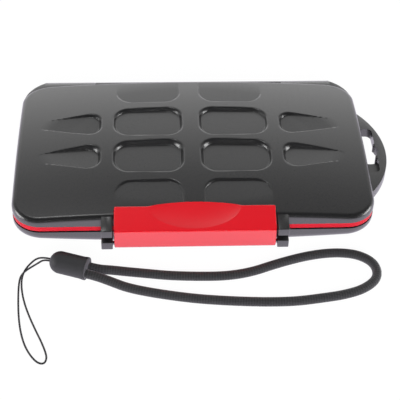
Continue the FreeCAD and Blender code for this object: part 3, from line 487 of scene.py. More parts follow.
# A rounded rectangle that starts in the middle of a corner, and the points on its first side
def caseOutline(halfX, halfY, radius, spacing):
    arcSteps = max(3, round(radius * math.pi / 4 / spacing))
    points, sideCounts = [], []
    for quarter in range(4):
        a, b = (halfX, halfY) if quarter % 2 == 0 else (halfY, halfX)
        runSteps = round(2 * (a - radius) / spacing)
        side = arc(radius - a, radius - b, radius, 225, 270, arcSteps)[:-1]
        side += [(radius - a + 2 * (a - radius) * i / runSteps, -b) for i in range(runSteps)]
        side += arc(a - radius, radius - b, radius, 270, 315, arcSteps)[:-1]
        turn = Matrix.Rotation(quarter * math.pi / 2, 2)
        points += [tuple(turn @ Vector(p)) for p in side]
        sideCounts.append(len(side))
    return points, sideCounts[0]


# Hand strap: cord, string and cap

strapSettings = {
    "cordDiameter": 3.4,
    "cordLength": 224.2,
    "stringDiameter": 0.7,
    "stringLength": 113.8,
    "earFront": -46.1,
    "capEnd": (-39.0, -53.6, 4.3),
    "capTurn": -19.45,
    "capRadius": 4.1,
    "capLength": 14.1,
    "capTip": 1.3,
    "capNoseSteps": 12,
    "lip": 0.14,
    "lipWidth": 1.5,
    "lipRounding": 0.15,
}

# Across, away from the ears, and lift of the underside above the floor
cordLeave = ((-38.417, -5.850, 1.9), (-34.646, -7.182, 1.9))
cordRoute = (
    (-30.6, -6.8, 1.1), (-25.0, -6.9, 0.2), (-18.2, -7.7, 0.0), (-9.5, -9.0, 0.0), (1.1, -9.6, 0.0),
    (10.9, -9.6, 0.0), (20.0, -7.9, 0.0), (29.5, -3.9, 0.0), (39.2, -0.6, 0.0), (47.4, 1.1, 0.0),
    (54.6, 1.3, 0.0), (60.9, -0.2, 0.0), (65.8, -4.7, 0.0), (65.8, -11.7, 0.0), (60.2, -16.9, 0.0),
    (52.6, -19.6, 0.0), (44.4, -21.0, 0.0), (35.6, -22.3, 0.0), (26.4, -22.5, 0.0), (17.6, -22.1, 0.0),
    (8.8, -21.4, 0.0), (0.0, -20.4, 0.0), (-8.6, -18.8, 0.0), (-17.0, -16.9, 0.0), (-24.9, -14.6, 0.1),
    (-30.9, -12.0, 0.8),
)
cordEnter = ((-35.811, -10.482, 1.9), (-39.583, -9.150, 1.9))
stringLeave = ((-52.129, -2.334, 3.95), (-54.392, -1.534, 3.95))
stringRoute = (
    (-57.6, -0.8, 2.9), (-60.2, -2.6, 1.5), (-61.7, -4.9, 1.0), (-62.5, -7.7, 0.6), (-62.6, -10.9, 0.1),
    (-62.0, -15.4, 0.0), (-60.7, -20.7, 0.0), (-58.7, -26.5, 0.0), (-56.3, -32.4, 0.0), (-54.1, -37.4, 0.0),
    (-52.4, -41.9, 0.0), (-51.6, -45.1, 0.0), (-52.4, -47.5, 0.0), (-54.6, -47.1, 0.0), (-57.1, -44.1, 0.0),
    (-59.5, -39.5, 0.0), (-61.3, -33.4, 0.0), (-62.4, -26.9, 0.0), (-63.0, -20.9, 0.0), (-63.4, -14.9, 0.0),
    (-63.5, -10.4, 0.0), (-63.2, -7.1, 0.0), (-61.9, -4.6, 0.0), (-59.6, -3.3, 0.8), (-57.2, -2.8, 2.2),
)
stringEnter = ((-54.725, -2.477, 3.95), (-52.462, -3.276, 3.95))


# Points along a smooth line that has the route's points as its control points
def smoothLine(name, route, diameter, s):
    curve = bpy.data.curves.new(name, "CURVE")
    curve.dimensions = "3D"
    spline = curve.splines.new("NURBS")
    spline.points.add(len(route) - 1)
    for point, (x, y, lift) in zip(spline.points, route):
        point.co = (x * mm, (s["earFront"] + y) * mm, (lift + diameter / 2) * mm, 1)
    spline.order_u = 3
    spline.use_endpoint_u = True
    spline.resolution_u = 10
    holder = bpy.data.objects.new(name, curve)
    bpy.context.scene.collection.objects.link(holder)
    bpy.context.view_layer.update()
    line = bpy.data.meshes.new_from_object(holder.evaluated_get(bpy.context.evaluated_depsgraph_get()))
    points = [v.co.copy() for v in line.vertices]
    bpy.data.objects.remove(holder)
    bpy.data.meshes.remove(line)
    return points


# A round tube along the points, with U round it and V along it in metres
def tubeAlong(name, points, diameter, sides):
    mesh = bpy.data.meshes.new(name)
    bm = bmesh.new()
    uvLayer = bm.loops.layers.uv.new("cordMap")
    rings, stations = [], [0.0]
    up = Vector((0, 0, 1))
    for i, point in enumerate(points):
        ahead = (points[min(i + 1, len(points) - 1)] - points[max(i - 1, 0)]).normalized()
        side = ahead.cross(up).normalized()
        top = side.cross(ahead)
        ring = []
        for k in range(sides):
            angle = 2 * math.pi * k / sides
            ring.append(bm.verts.new(point + (side * math.cos(angle) + top * math.sin(angle)) * diameter / 2))
        rings.append(ring)
        if i:
            stations.append(stations[-1] + (point - points[i - 1]).length)
    for i in range(len(rings) - 1):
        for k in range(sides):
            after = (k + 1) % sides
            face = bm.faces.new((rings[i][k], rings[i][after], rings[i + 1][after], rings[i + 1][k]))
            face.smooth = True
            corners = ((k, i), (k + 1, i), (k + 1, i + 1), (k, i + 1))
            for loop, (around, station) in zip(face.loops, corners):
                loop[uvLayer].uv = (around / sides, stations[station])
    bm.faces.new(reversed(rings[0]))
    bm.faces.new(rings[-1])
    bmesh.ops.recalc_face_normals(bm, faces=bm.faces)
    bm.to_mesh(mesh)
    bm.free()
    tube = bpy.data.objects.new(name, mesh)
    bpy.context.scene.collection.objects.link(tube)
    return tube


# A bullet with a lip at its mouth, turned from rings along its own axis
def makeCap(s):
    radius, length, tip = s["capRadius"], s["capLength"], s["capTip"]
    noseCentre = length - math.sqrt(radius ** 2 - tip ** 2)
    mouth, edge, width = radius + s["lip"], s["lipRounding"], s["lipWidth"]
    rings = [(0.0, mouth - edge), (edge / 3, mouth - edge / 3), (edge, mouth), (width / 2, mouth)]
    rings += [(width, radius + s["lip"] / 4), (width * 1.5, radius), (noseCentre, radius)]
    last = math.acos(tip / radius)
    for i in range(1, s["capNoseSteps"] + 1):
        angle = last * i / s["capNoseSteps"]
        rings.append((noseCentre + radius * math.sin(angle), radius * math.cos(angle)))
    deselectAll()
    bpy.ops.mesh.primitive_circle_add(
        vertices=48, radius=rings[0][1] * mm, fill_type="NGON", rotation=(0, -math.pi / 2, 0)
    )
    cap = bpy.context.object
    cap.name = "strapEndCap"
    bpy.ops.object.transform_apply(location=True, rotation=True, scale=True)
    bpy.ops.object.mode_set(mode="EDIT")
    bpy.ops.mesh.select_all(action="SELECT")
    for (station, size), (nextStation, nextSize) in zip(rings, rings[1:]):
        bpy.ops.mesh.extrude_region_move(
            TRANSFORM_OT_translate={"value": ((station - nextStation) * mm, 0, 0)}
        )
        bpy.ops.transform.resize(value=(1, nextSize / size, nextSize / size))
    bpy.ops.object.mode_set(mode="OBJECT")
    outwardNormals(cap)
    cap.rotation_euler = (0, 0, math.radians(s["capTurn"]))
    cap.location = Vector(s["capEnd"]) * mm
    smooth(cap, 40)
    return finishPiece(cap, capPlastic, "strap", "strap_end_cap")


def makeStrap(s):
    cap = makeCap(s)
    line = smoothLine("cordRoute", cordLeave + cordRoute + cordEnter, s["cordDiameter"], s)
    cord = tubeAlong("strapCord", line, s["cordDiameter"] * mm, 24)
    finishPiece(cord, cordBraid, "strap", "strap_cord")
    line = smoothLine("stringRoute", stringLeave + stringRoute + stringEnter, s["stringDiameter"], s)
    string = tubeAlong("strapString", line, s["stringDiameter"] * mm, 12)
    finishPiece(string, stringTwist, "strap", "strap_string")
    # The photo shows the strap laid out apart: the case doesn't mirror it
    for piece in (cap, cord, string):
        piece.visible_glossy = False


makeStrap(strapSettings)
print("strap ready")


# Edit-mode helpers for shells

def startEdit(piece):
    pick(piece)
    bpy.ops.object.mode_set(mode="EDIT")
    bpy.ops.mesh.select_mode(type="FACE")
    bpy.ops.mesh.select_all(action="DESELECT")


# The one large face that lies at this level
def selectNgon(piece, level):
    startEdit(piece)
    bm = bmesh.from_edit_mesh(piece.data)
    for face in bm.faces:
        if len(face.verts) > 40 and all(abs(v.co.z / mm - level) < 1e-3 for v in face.verts):
            face.select_set(True)
    bmesh.update_edit_mesh(piece.data)


def setHeights(piece, heightAt):
    bm = bmesh.from_edit_mesh(piece.data)
    for vertex in bm.verts:
        if vertex.select:
            vertex.co.z = heightAt(vertex.co.x / mm, vertex.co.y / mm) * mm
    bmesh.update_edit_mesh(piece.data)


def extrudeBy(height):
    bpy.ops.mesh.extrude_region_move(TRANSFORM_OT_translate={"value": (0, 0, height * mm)})


# Rounds the way from a wall into the selected face: up for a lid, down for a floor
def roundInto(radius, steps, direction):
    gone, risen = 0.0, 0.0
    for i in range(1, steps + 1):
        angle = math.pi / 2 * i / steps
        inset, rise = radius * (1 - math.cos(angle)), radius * math.sin(angle)
        bpy.ops.mesh.inset(thickness=(inset - gone) * mm, use_even_offset=True)
        bpy.ops.transform.translate(value=(0, 0, direction * (rise - risen) * mm))
        gone, risen = inset, rise


# Draws the selected face in, ring by ring, over a dome
def domeFace(piece, heightAt, rings=(0.94, 0.85, 0.74, 0.62, 0.5, 0.38, 0.26, 0.14)):
    size = 1.0
    for ring in rings:
        bpy.ops.mesh.extrude_region_move()
        share = ring / size
        bpy.ops.transform.resize(value=(share, share, 1), center_override=(0, 0, 0))
        setHeights(piece, heightAt)
        size = ring


def softMin(a, b, blend):
    share = max(blend - abs(a - b), 0) / blend
    return min(a, b) - share * share * blend / 4


caseSettings = {
    "halfLength": 67.0,
    "halfDepth": 40.0,
    "cornerRadius": 11.0,
    "wall": 2.2,
    "fallLong": 2.805,  # how far the crown falls towards the ends
    "fallShort": 3.2,  # and towards the front and back
    "hingeY": 42.95,
    "hingeZ": 10.95,
    "knuckle": 2.6,
    "pinRoom": 1.05,
    "earFront": -46.1,
    "earStart": 29.85,
    "earEnd": 34.0,
    "wallMiddle": 38.9,
}


def crownFall(x, y):
    c = caseSettings
    return c["fallLong"] * (x / c["halfLength"]) ** 2 + c["fallShort"] * (y / c["halfDepth"]) ** 2


# Lid

lidSettings = {
    "rim": 12.1,
    "top": 20.4,
    "edgeRadius": 1.95,
    "edgeSteps": 7,
    "spacing": 0.42,
    "ceiling": 16.8,
    "ceilingLong": 1.567,
    "ceilingShort": 1.709,
    "recessDraft": 22.0,
    "rimRounding": 1.4,
    "leastRim": 0.2,  # share of that rounding where a recess runs out
    "floorRounding": 0.25,
    "wallReach": 4.0,  # past this a recess leaves the crown as it is
    "wallMiddleReach": 0.4,  # from the floor's edge to the middle of the wall
    "wallBand": 2.0,  # the mesh is drawn together within this of a recess wall
    # start, length, width at the inner and the outer end, offset, corner radius at either end
    "recesses": (
        (4.15, 25.1, 16.4, 15.0, 10.3, 6.2, 6.2),
        (4.05, 24.9, 17.1, 17.1, 32.05, 6.6, 6.6),
        (35.55, 23.0, 12.7, 4.8, 9.8, 5.6, 2.0),
    ),
    # level of each floor in the middle of the lid, and how far it follows the crown's fall
    "recessFloors": ((18.5, 0.4), (19.04, 0.5), (17.4, -0.4)),
    "recessShift": 0.55,  # towards the hinge
    "earTopFront": 15.5,
    "earTopBack": 16.35,
    "earRounding": 0.35,
    "seat": ((-42.0, 14.2), (-36.45, 16.71), (-36.45, 22.4), (-42.0, 22.4)),
    "seatEnd": 29.55,
    "knuckleStart": 38.45,
    "knuckleEnd": 58.8,
    "hingeBlock": (
        (38.9, 12.1), (38.9, 14.35), (42.0, 14.4), (44.79, 12.79), (42.95, 10.95), (40.35, 12.1),
    ),
    "web": (
        (56.6, 38.9), (58.8, 43.7), (60.4, 42.7), (61.9, 41.5), (63.1, 40.3), (64.2, 38.9),
        (65.1, 37.45), (65.8, 35.9), (66.35, 34.25), (66.73, 32.4), (65.9, 30.2),
    ),
    "webTop": 13.6,
    "webRounding": 0.3,
}


# How far a point lies outside the floor of a recess with rounded corners
def recessReach(x, y, recess):
    start, length, root, tip, offset, rootRadius, tipRadius = recess
    along = x - start
    radius = rootRadius if along < length / 2 else tipRadius
    lean = math.hypot(1, (root - tip) / 2 / length)
    a = max(-along, along - length)
    b = (abs(y - offset) - (root + (tip - root) * along / length) / 2) / lean
    if abs(a - b) < radius:
        return (a + b + 2 * radius - math.sqrt(2 * radius ** 2 - (a - b) ** 2)) / 2
    return max(a, b)


def lidHeight(x, y):
    s = lidSettings
    fall = crownFall(x, y)
    height = s["top"] - fall
    steep = 1 / math.tan(math.radians(s["recessDraft"]))
    for recess, (level, share) in zip(s["recesses"], s["recessFloors"]):
        reach = recessReach(abs(x), abs(y - s["recessShift"]), recess)
        if reach < s["wallReach"]:
            climb = -softMin(0, -reach * steep, s["floorRounding"])
            floor = level - share * fall
            deep = min(max(s["top"] - fall - floor, s["leastRim"]), 1)
            height = softMin(height, floor + climb, deep * s["rimRounding"])
    return height


# Draws grid points towards the nearest recess wall, so that the wall gets enough faces
def nearWall(x, y):
    s = lidSettings
    level, share = s["recessFloors"][1]
    deep = min(max(s["top"] - level - (1 - share) * crownFall(x, y), 0), 1)
    y -= s["recessShift"]
    sideX, sideY = math.copysign(1, x), math.copysign(1, y)
    x, y = abs(x), abs(y)
    for recess in s["recesses"]:
        away = recessReach(x, y, recess) - s["wallMiddleReach"]
        if abs(away) < s["wallBand"]:
            shift = deep * away * (math.sqrt(abs(away) / s["wallBand"]) - 1)
            step = 0.05
            slopeX = recessReach(x + step, y, recess) - recessReach(x - step, y, recess)
            slopeY = recessReach(x, y + step, recess) - recessReach(x, y - step, recess)
            steep = max(math.hypot(slopeX, slopeY), 1e-6)
            x, y = x + shift * slopeX / steep, y + shift * slopeY / steep
    return sideX * x, sideY * y + s["recessShift"]


# Gives the crown and its recesses the normals of the true surface, so that rims run even
def trueNormals(lid):
    step, onSurface, alike = 0.02, 0.004, 0.6
    mesh = lid.data
    normals = [Vector(n.vector) for n in mesh.corner_normals]
    known = {}
    for loop in mesh.loops:
        i = loop.vertex_index
        if i not in known:
            x, y, z = mesh.vertices[i].co / mm
            known[i] = None
            if abs(z - lidHeight(x, y)) < onSurface:
                slopeX = (lidHeight(x + step, y) - lidHeight(x - step, y)) / (2 * step)
                slopeY = (lidHeight(x, y + step) - lidHeight(x, y - step)) / (2 * step)
                known[i] = Vector((-slopeX, -slopeY, 1)).normalized()
        if known[i] and known[i].dot(normals[loop.index]) > alike:
            normals[loop.index] = known[i]
    mesh.normals_split_custom_set(normals)


def ceilingHeight(x, y):
    s, c = lidSettings, caseSettings
    inX, inY = c["halfLength"] - c["wall"], c["halfDepth"] - c["wall"]
    return s["ceiling"] - s["ceilingLong"] * (x / inX) ** 2 - s["ceilingShort"] * (y / inY) ** 2


# The filled grid starts at the corner vertex nearest to the front left
def fillTop(piece, level, span):
    bpy.ops.mesh.delete(type="ONLY_FACE")
    bpy.ops.mesh.select_mode(type="VERT")
    bm = bmesh.from_edit_mesh(piece.data)
    loop = [v for v in bm.verts if abs(v.co.z / mm - level) < 1e-3]
    for vertex in loop:
        vertex.select_set(True)
    bm.select_flush_mode()
    bm.select_history.clear()
    bm.select_history.add(min(loop, key=lambda v: v.co.x + v.co.y))
    bmesh.update_edit_mesh(piece.data)
    bpy.ops.mesh.fill_grid(span=span, offset=0, use_interp_simple=True)
    bpy.ops.object.mode_set(mode="OBJECT")


def makeLid(s, c):
    outline, span = caseOutline(c["halfLength"], c["halfDepth"], c["cornerRadius"], s["spacing"])
    lid = startNgon("lidShell", [(x, y, s["rim"]) for x, y in outline])
    startEdit(lid)
    bpy.ops.mesh.select_all(action="SELECT")
    extrudeBy(s["top"] - s["edgeRadius"] - s["rim"])
    roundInto(s["edgeRadius"], s["edgeSteps"], 1)
    fillTop(lid, s["top"], span)
    for vertex in lid.data.vertices:
        x, y, z = vertex.co / mm
        if z > s["top"] - 1e-3:
            x, y = nearWall(x, y)
            vertex.co = Vector((x, y, lidHeight(x, y))) * mm
        elif z > s["rim"] + 1e-3:
            vertex.co.z -= crownFall(x, y) * mm
    selectNgon(lid, s["rim"])
    bpy.ops.mesh.inset(thickness=c["wall"] * mm, use_even_offset=True)
    extrudeBy(1)
    setHeights(lid, ceilingHeight)
    domeFace(lid, ceilingHeight)
    outwardNormals(lid)
    ear = sideBar("lidEar", (
        (c["earFront"], s["rim"]), (-c["wallMiddle"], s["rim"]),
        (-c["wallMiddle"], s["earTopBack"]), (c["earFront"], s["earTopFront"]),
    ), c["earStart"], c["earEnd"])
    roundEdges(ear, s["earRounding"])
    block = sideBar("hingeBlock", s["hingeBlock"], s["knuckleStart"], s["knuckleEnd"])
    barrel = rod("lidBarrel", c["knuckle"], s["knuckleStart"], s["knuckleEnd"], c["hingeY"], c["hingeZ"])
    web = planPlate("hingeWeb", s["web"], s["rim"], s["webTop"])
    roundEdges(web, s["webRounding"])
    combine(block, "UNION", barrel, web)
    combine(lid, "UNION", joined(*bothSides(ear), *bothSides(block)))
    seat = sideBar("latchSeat", s["seat"], -s["seatEnd"], s["seatEnd"])
    bore = rod("lidBore", c["pinRoom"], s["knuckleStart"] - 2, s["knuckleEnd"] + 2, c["hingeY"], c["hingeZ"])
    combine(lid, "DIFFERENCE", joined(seat, *bothSides(bore)))
    smooth(lid)
    trueNormals(lid)
    return finishPiece(lid, shellPlastic, "lid", "lid_shell")


makeLid(lidSettings, caseSettings)
print("lid ready")


# Base

baseSettings = {
    "rim": 9.4,
    "edgeRadius": 3.65,
    "edgeSteps": 8,
    "spacing": 1.0,
    "footCut": 0.5,
    "floorWall": 2.0,
    "earBottom": 6.3,
    "earTop": 9.8,
    "earRounding": 0.3,
    "knuckleEnd": 38.3,
    "knuckleRounding": 0.2,
    "gusset": ((38.9, 9.8), (38.9, 4.4), (45.2, 9.65), (42.95, 10.95)),
    "hingePinStart": 30.4,
    "latchPinY": -44.35,
    "latchPinZ": 8.05,
    "latchPinRoom": 0.85,
}

loopSettings = {
    "centre": 39.1,
    "radius": 37.0,
    "spread": 41.05,
    "root": 65.9,
    "gapEnd": 67.35,
    "bottom": 8.4,
    "top": 12.4,
    "rounding": 0.35,
    "slotMiddle": 69.65,
    "slotHalfWidth": 2.65,
    "slotRadius": 2.2,
    "slotStep": 10.2,
    "upperSlot": (-12.5, 13.5),
    "lowerSlot": (-5.3, 13.5),
    "notch": ((70.0, -2.0), (72.3, -2.0), (73.4, 0.5), (72.3, 3.0), (70.0, 3.0)),
    "teeth": ((72.55, 4.0), (72.55, -3.0)),
    "toothRadius": 0.85,
}


def footHeight(x, y):
    return max(0.0, crownFall(x, y) - baseSettings["footCut"])


def floorHeight(x, y):
    return crownFall(x, y) - baseSettings["footCut"] + baseSettings["floorWall"]


def movedOutline(outline, shiftX, shiftY):
    return [(x + shiftX, y + shiftY) for x, y in outline]


def makeSlotTool(s, front, back, bottom, top):
    outline, _ = caseOutline(s["slotHalfWidth"], (back - front) / 2, s["slotRadius"], 0.4)
    return planPlate("loopSlot", movedOutline(outline, s["slotMiddle"], (front + back) / 2), bottom, top)


def makeLoop(s, rim):
    rounded = arc(s["centre"], 0, s["radius"], -s["spread"], s["spread"], 48)
    half = rounded[-1][1]
    outline = [(s["root"], -half)] + rounded + [(s["root"], half)]
    loop = startNgon("loop", [(x, y, s["bottom"]) for x, y in outline])
    startEdit(loop)
    bpy.ops.mesh.select_all(action="SELECT")
    extrudeBy(s["top"] - s["bottom"] - s["rounding"])
    roundInto(s["rounding"], 4, 1)
    outwardNormals(loop)
    far, near = s["gapEnd"], s["root"] - 1
    gap = [(near, -half - 1), (far, -half - 1), (far, half + 1), (near, half + 1)]
    combine(
        loop, "DIFFERENCE", planPlate("sealRoom", gap, rim - 0.05, s["top"] + 1),
        makeSlotTool(s, *s["upperSlot"], s["slotStep"], s["top"] + 1),
        makeSlotTool(s, *s["lowerSlot"], s["bottom"] - 1, s["slotStep"] + 0.1),
        planPlate("loopNotch", s["notch"], s["bottom"] - 1, s["top"] + 1),
    )
    for x, y in s["teeth"]:
        outline = arc(x, y, s["toothRadius"], 0, 345, 23)
        combine(loop, "UNION", planPlate("loopTooth", outline, s["bottom"] + 0.3, s["top"] - 0.4))
    return loop


def makeBase(s, c):
    outline, _ = caseOutline(c["halfLength"], c["halfDepth"], c["cornerRadius"], s["spacing"])
    base = startNgon("baseShell", [(x, y, s["rim"]) for x, y in outline])
    startEdit(base)
    bpy.ops.mesh.select_all(action="SELECT")
    extrudeBy(s["edgeRadius"] - s["rim"])
    roundInto(s["edgeRadius"], s["edgeSteps"], -1)
    bm = bmesh.from_edit_mesh(base.data)
    for vertex in bm.verts:
        x, y, z = vertex.co / mm
        if z < s["rim"] - 1e-3:
            vertex.co.z += (crownFall(x, y) - s["footCut"]) * mm
    bmesh.update_edit_mesh(base.data)
    domeFace(base, footHeight)
    selectNgon(base, s["rim"])
    bpy.ops.mesh.inset(thickness=c["wall"] * mm, use_even_offset=True)
    extrudeBy(-1)
    setHeights(base, floorHeight)
    domeFace(base, floorHeight)
    outwardNormals(base)
    ear = sideBar("baseEar", (
        (c["earFront"], s["earBottom"]), (-c["wallMiddle"], s["earBottom"]),
        (-c["wallMiddle"], s["earTop"]), (c["earFront"], s["earTop"]),
    ), c["earStart"], c["earEnd"])
    roundEdges(ear, s["earRounding"])
    end = s["knuckleEnd"]
    knuckle = rod(
        "baseKnuckle", c["knuckle"], -end, end, c["hingeY"], c["hingeZ"], s["knuckleRounding"]
    )
    gusset = sideBar("hingeGusset", s["gusset"], -end + 0.05, end - 0.05)
    combine(knuckle, "UNION", gusset)
    combine(base, "UNION", joined(*bothSides(ear), knuckle, makeLoop(loopSettings, s["rim"])))
    earEnd = c["earEnd"] + 2
    latchBore = rod("latchBore", s["latchPinRoom"], -earEnd, earEnd, s["latchPinY"], s["latchPinZ"])
    hingeBore = rod("hingeBore", c["pinRoom"], s["hingePinStart"], end + 2, c["hingeY"], c["hingeZ"])
    combine(base, "DIFFERENCE", joined(latchBore, *bothSides(hingeBore)))
    smooth(base)
    return finishPiece(base, shellPlastic, "base", "base_shell")


makeBase(baseSettings, caseSettings)
print("base ready")


# Gasket: its section as pairs of inset from the case's outline and height

sealSettings = {
    "spacing": 0.8,
    "section": (
        (0.45, 9.8), (0.3, 9.84), (0.19, 9.95), (0.15, 10.1), (0.15, 11.9), (0.2, 12.04), (0.35, 12.1),
        (3.1, 12.1), (3.3, 11.9), (3.3, 9.25), (3.22, 9.06), (3.05, 9.0), (2.75, 9.0), (2.58, 9.06),
        (2.5, 9.25), (2.5, 9.8), (0.45, 9.8),
    ),
}


# Sets the selected ring to an inset from the case's outline
def setRing(piece, inset, height):
    c = caseSettings
    coreX, coreY = c["halfLength"] - c["cornerRadius"], c["halfDepth"] - c["cornerRadius"]
    bm = bmesh.from_edit_mesh(piece.data)
    for vertex in bm.verts:
        if vertex.select:
            place = vertex.co.xy / mm
            core = Vector((max(-coreX, min(coreX, place.x)), max(-coreY, min(coreY, place.y))))
            ring = core + (place - core).normalized() * (c["cornerRadius"] - inset)
            vertex.co = Vector((*ring, height)) * mm
    bmesh.update_edit_mesh(piece.data)


def makeSeal(s, c):
    outline, _ = caseOutline(c["halfLength"], c["halfDepth"], c["cornerRadius"], s["spacing"])
    seal = startNgon("lidSeal", [(x, y, s["section"][0][1]) for x, y in outline])
    startEdit(seal)
    bpy.ops.mesh.select_all(action="SELECT")
    bpy.ops.mesh.delete(type="ONLY_FACE")
    bpy.ops.mesh.select_mode(type="EDGE")
    bpy.ops.mesh.select_all(action="SELECT")
    setRing(seal, *s["section"][0])
    for inset, height in s["section"][1:]:
        bpy.ops.mesh.extrude_edges_move()
        setRing(seal, inset, height)
    bpy.ops.mesh.select_all(action="SELECT")
    bpy.ops.mesh.remove_doubles(threshold=0.01 * mm)
    outwardNormals(seal)
    smooth(seal, 40)
    return finishPiece(seal, sealSilicone, "lid", "lid_seal")


makeSeal(sealSettings, caseSettings)
print("gasket ready")


# Latch

latchSettings = {
    "halfWidth": 29.3,
    "front": -46.1,
    "pinY": -44.35,
    "pinZ": 8.05,
    "knuckle": 1.75,
    "pinRoom": 0.85,
    "fold": 15.0,
    "tabTop": (-35.1, 19.97),
    "tabUnder": 18.29,
    "edge": -36.8,
    "hookBottom": 16.9,
    "inner": -44.2,
    "innerTop": 13.56,
    "tabHalfWidth": 17.0,
    "tabRadius": 85.85,
    "rounding": 0.5,
    "dishCentre": (-36.8, 19.2),
    "dishHalfWidth": 17.0,
    "dishHalfLength": 9.1,
    "dishDepth": 0.6,
}


def latchSection(s):
    reach = math.degrees(math.acos((s["inner"] - s["pinY"]) / s["knuckle"]))
    section = arc(s["pinY"], s["pinZ"], s["knuckle"], reach, -180, 28)
    section += [(s["front"], s["fold"]), s["tabTop"], (s["tabTop"][0], s["tabUnder"])]
    section += [(s["edge"], s["tabUnder"]), (s["edge"], s["hookBottom"]), (s["inner"], s["innerTop"])]
    return section


# What is left behind the latch's straight edge is a rounded thumb tab
def makeTabTrim(s):
    lean = math.degrees(math.asin(s["tabHalfWidth"] / s["tabRadius"]))
    tip = s["tabTop"][0]
    bow = arc(0, tip - s["tabRadius"], s["tabRadius"], 90 + lean, 90 - lean, 40)
    far = s["halfWidth"] + 2
    outline = [(-far, s["edge"])] + bow + [(far, s["edge"]), (far, tip + 2), (-far, tip + 2)]
    return planPlate("tabTrim", outline, s["innerTop"], s["tabTop"][1] + 3)


# A shallow bowl, sunk into the sloping top
def makeDish(s):
    deselectAll()
    bpy.ops.mesh.primitive_uv_sphere_add(segments=160, ring_count=80, radius=1)
    dish = bpy.context.object
    for vertex in dish.data.vertices:
        if vertex.co.z < 0:
            vertex.co.z = math.hypot(vertex.co.x, vertex.co.y) ** 3 - 1
        else:
            vertex.co.z *= 4
    rise = s["tabTop"][1] - s["fold"]
    lean = math.atan(rise / (s["tabTop"][0] - s["front"]))
    y, z = s["dishCentre"]
    dish.scale = Vector((s["dishHalfWidth"], s["dishHalfLength"], s["dishDepth"])) * mm
    dish.rotation_euler = (lean, 0, 0)
    dish.location = (0, y * mm, (z + 0.02) * mm)
    bpy.ops.object.transform_apply(location=True, rotation=True, scale=True)
    return dish


def makeLatch(s):
    latch = sideBar("latchClip", latchSection(s), -s["halfWidth"], s["halfWidth"])
    combine(latch, "DIFFERENCE", makeTabTrim(s))
    roundEdges(latch, s["rounding"], 4, clamp=False)
    end = s["halfWidth"] + 2
    combine(latch, "DIFFERENCE", makeDish(s), rod("latchBore", s["pinRoom"], -end, end, s["pinY"], s["pinZ"]))
    smooth(latch, 30)
    applyModifier(latch, "WEIGHTED_NORMAL", keep_sharp=True)
    return finishPiece(latch, latchPlastic, "latch", "latch")


makeLatch(latchSettings)
print("latch ready")


# Pins

pinSettings = {
    # radius, start, end, and the place of the axis
    "latchPin": (0.8, -33.8, 33.8, -44.35, 8.05),
    "hingePinLeft": (1.0, -58.6, -30.6, 42.95, 10.95),
    "hingePinRight": (1.0, 30.6, 58.6, 42.95, 10.95),
    "chamfer": 0.22,
    "dome": 0.05,  # at either end
}


# A wire pin with chamfered ends, each end face slightly domed by the cropping
def makePin(name, s, node):
    radius, start, end, y, z = s[name]
    pin = rod(name, radius, start, end, y, z, s["chamfer"])
    startEdit(pin)
    bm = bmesh.from_edit_mesh(pin.data)
    for face in bm.faces:
        face.select_set(len(face.verts) > 20)
    bmesh.update_edit_mesh(pin.data)
    bpy.ops.mesh.inset(thickness=radius * 0.4 * mm, use_even_offset=True)
    bpy.ops.transform.resize(value=(1 - 2 * s["dome"] / (end - start), 1, 1))
    bpy.ops.object.mode_set(mode="OBJECT")
    smooth(pin, 40)
    return finishPiece(pin, pinSteel, "base", node)


makePin("latchPin", pinSettings, "latch_pin")
makePin("hingePinLeft", pinSettings, "hinge_pin_left")
makePin("hingePinRight", pinSettings, "hinge_pin_right")
print("pins ready")


# Foam trays

traySettings = {
    "halfLength": 64.5,
    "halfDepth": 37.5,
    "frameCorner": 8.5,
    "sheetCorner": 16.0,
    "domeGap": 0.2,
    "sheetGap": 0.05,  # between a tray's sheet and its frame
    "spacing": 1.2,
    "rounding": 0.35,
    "windowCorner": 0.8,
    "cardLevels": (6.1, 8.3),
    "cardWindow": (24.0, 32.0),
    "cardStarts": ((-57.9, -27.3, 3.3, 33.9), (-33.83, 1.83)),
    "smallLevels": (12.6, 13.8),
    "smallWindow": (12.0, 16.0),
    "smallStarts": ((-56.36, -36.21, -16.07, 4.07, 24.21, 44.36), (-23.17, 7.17)),
    "fill": 0.9,
}


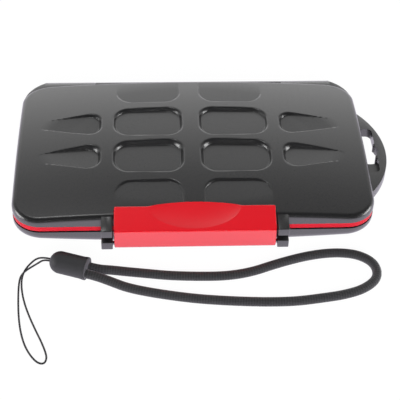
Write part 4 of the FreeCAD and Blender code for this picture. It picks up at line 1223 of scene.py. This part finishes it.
def makeFrame(name, s, levels, window, starts, clearDome):
    outline, _ = caseOutline(s["halfLength"], s["halfDepth"], s["frameCorner"], s["spacing"])
    tray = planPlate(name, outline, *levels)
    hole, _ = caseOutline(window[0] / 2, window[1] / 2, s["windowCorner"], 0.4)
    # Only the rounded corners' points: the straight sides need none
    corners = [
        p for p in hole
        if min(window[0] / 2 - abs(p[0]), window[1] / 2 - abs(p[1])) < 0.9 * s["windowCorner"]
    ]
    windows = []
    for x in starts[0]:
        for y in starts[1]:
            shape = movedOutline(corners, x + window[0] / 2, y + window[1] / 2)
            windows.append(planPlate("window", shape, levels[0] - 1, levels[1] + 1))
    combine(tray, "DIFFERENCE", joined(*windows))
    roundEdges(tray, s["rounding"])
    for vertex in tray.data.vertices:
        vertex.co.z = clearDome(*(vertex.co / mm)) * mm
    smooth(tray, 40)
    return tray


def makeSheet(name, s, level, heightAt):
    outline, _ = caseOutline(s["halfLength"], s["halfDepth"], s["sheetCorner"], s["spacing"])
    sheet = startNgon(name, [(x, y, level) for x, y in outline])
    startEdit(sheet)
    bpy.ops.mesh.select_all(action="SELECT")
    extrudeBy(0.1)
    setHeights(sheet, heightAt)
    domeFace(sheet, heightAt)
    outwardNormals(sheet)
    smooth(sheet)
    return sheet


def makeTrays(s):
    def overFloor(x, y, z):
        return max(z, floorHeight(x, y) + s["domeGap"])

    def underCeiling(x, y, z):
        return min(z, ceilingHeight(x, y) - s["domeGap"])

    cardFloor, smallFloor = s["cardLevels"][0], s["smallLevels"][1]

    def cardSheet(x, y):
        return min(overFloor(x, y, 0), cardFloor - s["sheetGap"])

    def smallSheet(x, y):
        return max(underCeiling(x, y, 99), smallFloor + s["sheetGap"])

    pieces = (
        (makeFrame("baseTrayFrame", s, s["cardLevels"], s["cardWindow"], s["cardStarts"], overFloor),
         "base", "base_tray_frame"),
        (makeSheet("baseTrayFloor", s, cardFloor, cardSheet), "base", "base_tray_floor"),
        (makeFrame("lidTrayFrame", s, s["smallLevels"], s["smallWindow"], s["smallStarts"], underCeiling),
         "lid", "lid_tray_frame"),
        (makeSheet("lidTrayFloor", s, smallFloor, smallSheet), "lid", "lid_tray_floor"),
    )
    for piece, body, node in pieces:
        finishPiece(piece, trayFoam, body, node)


makeTrays(traySettings)
print("trays ready")
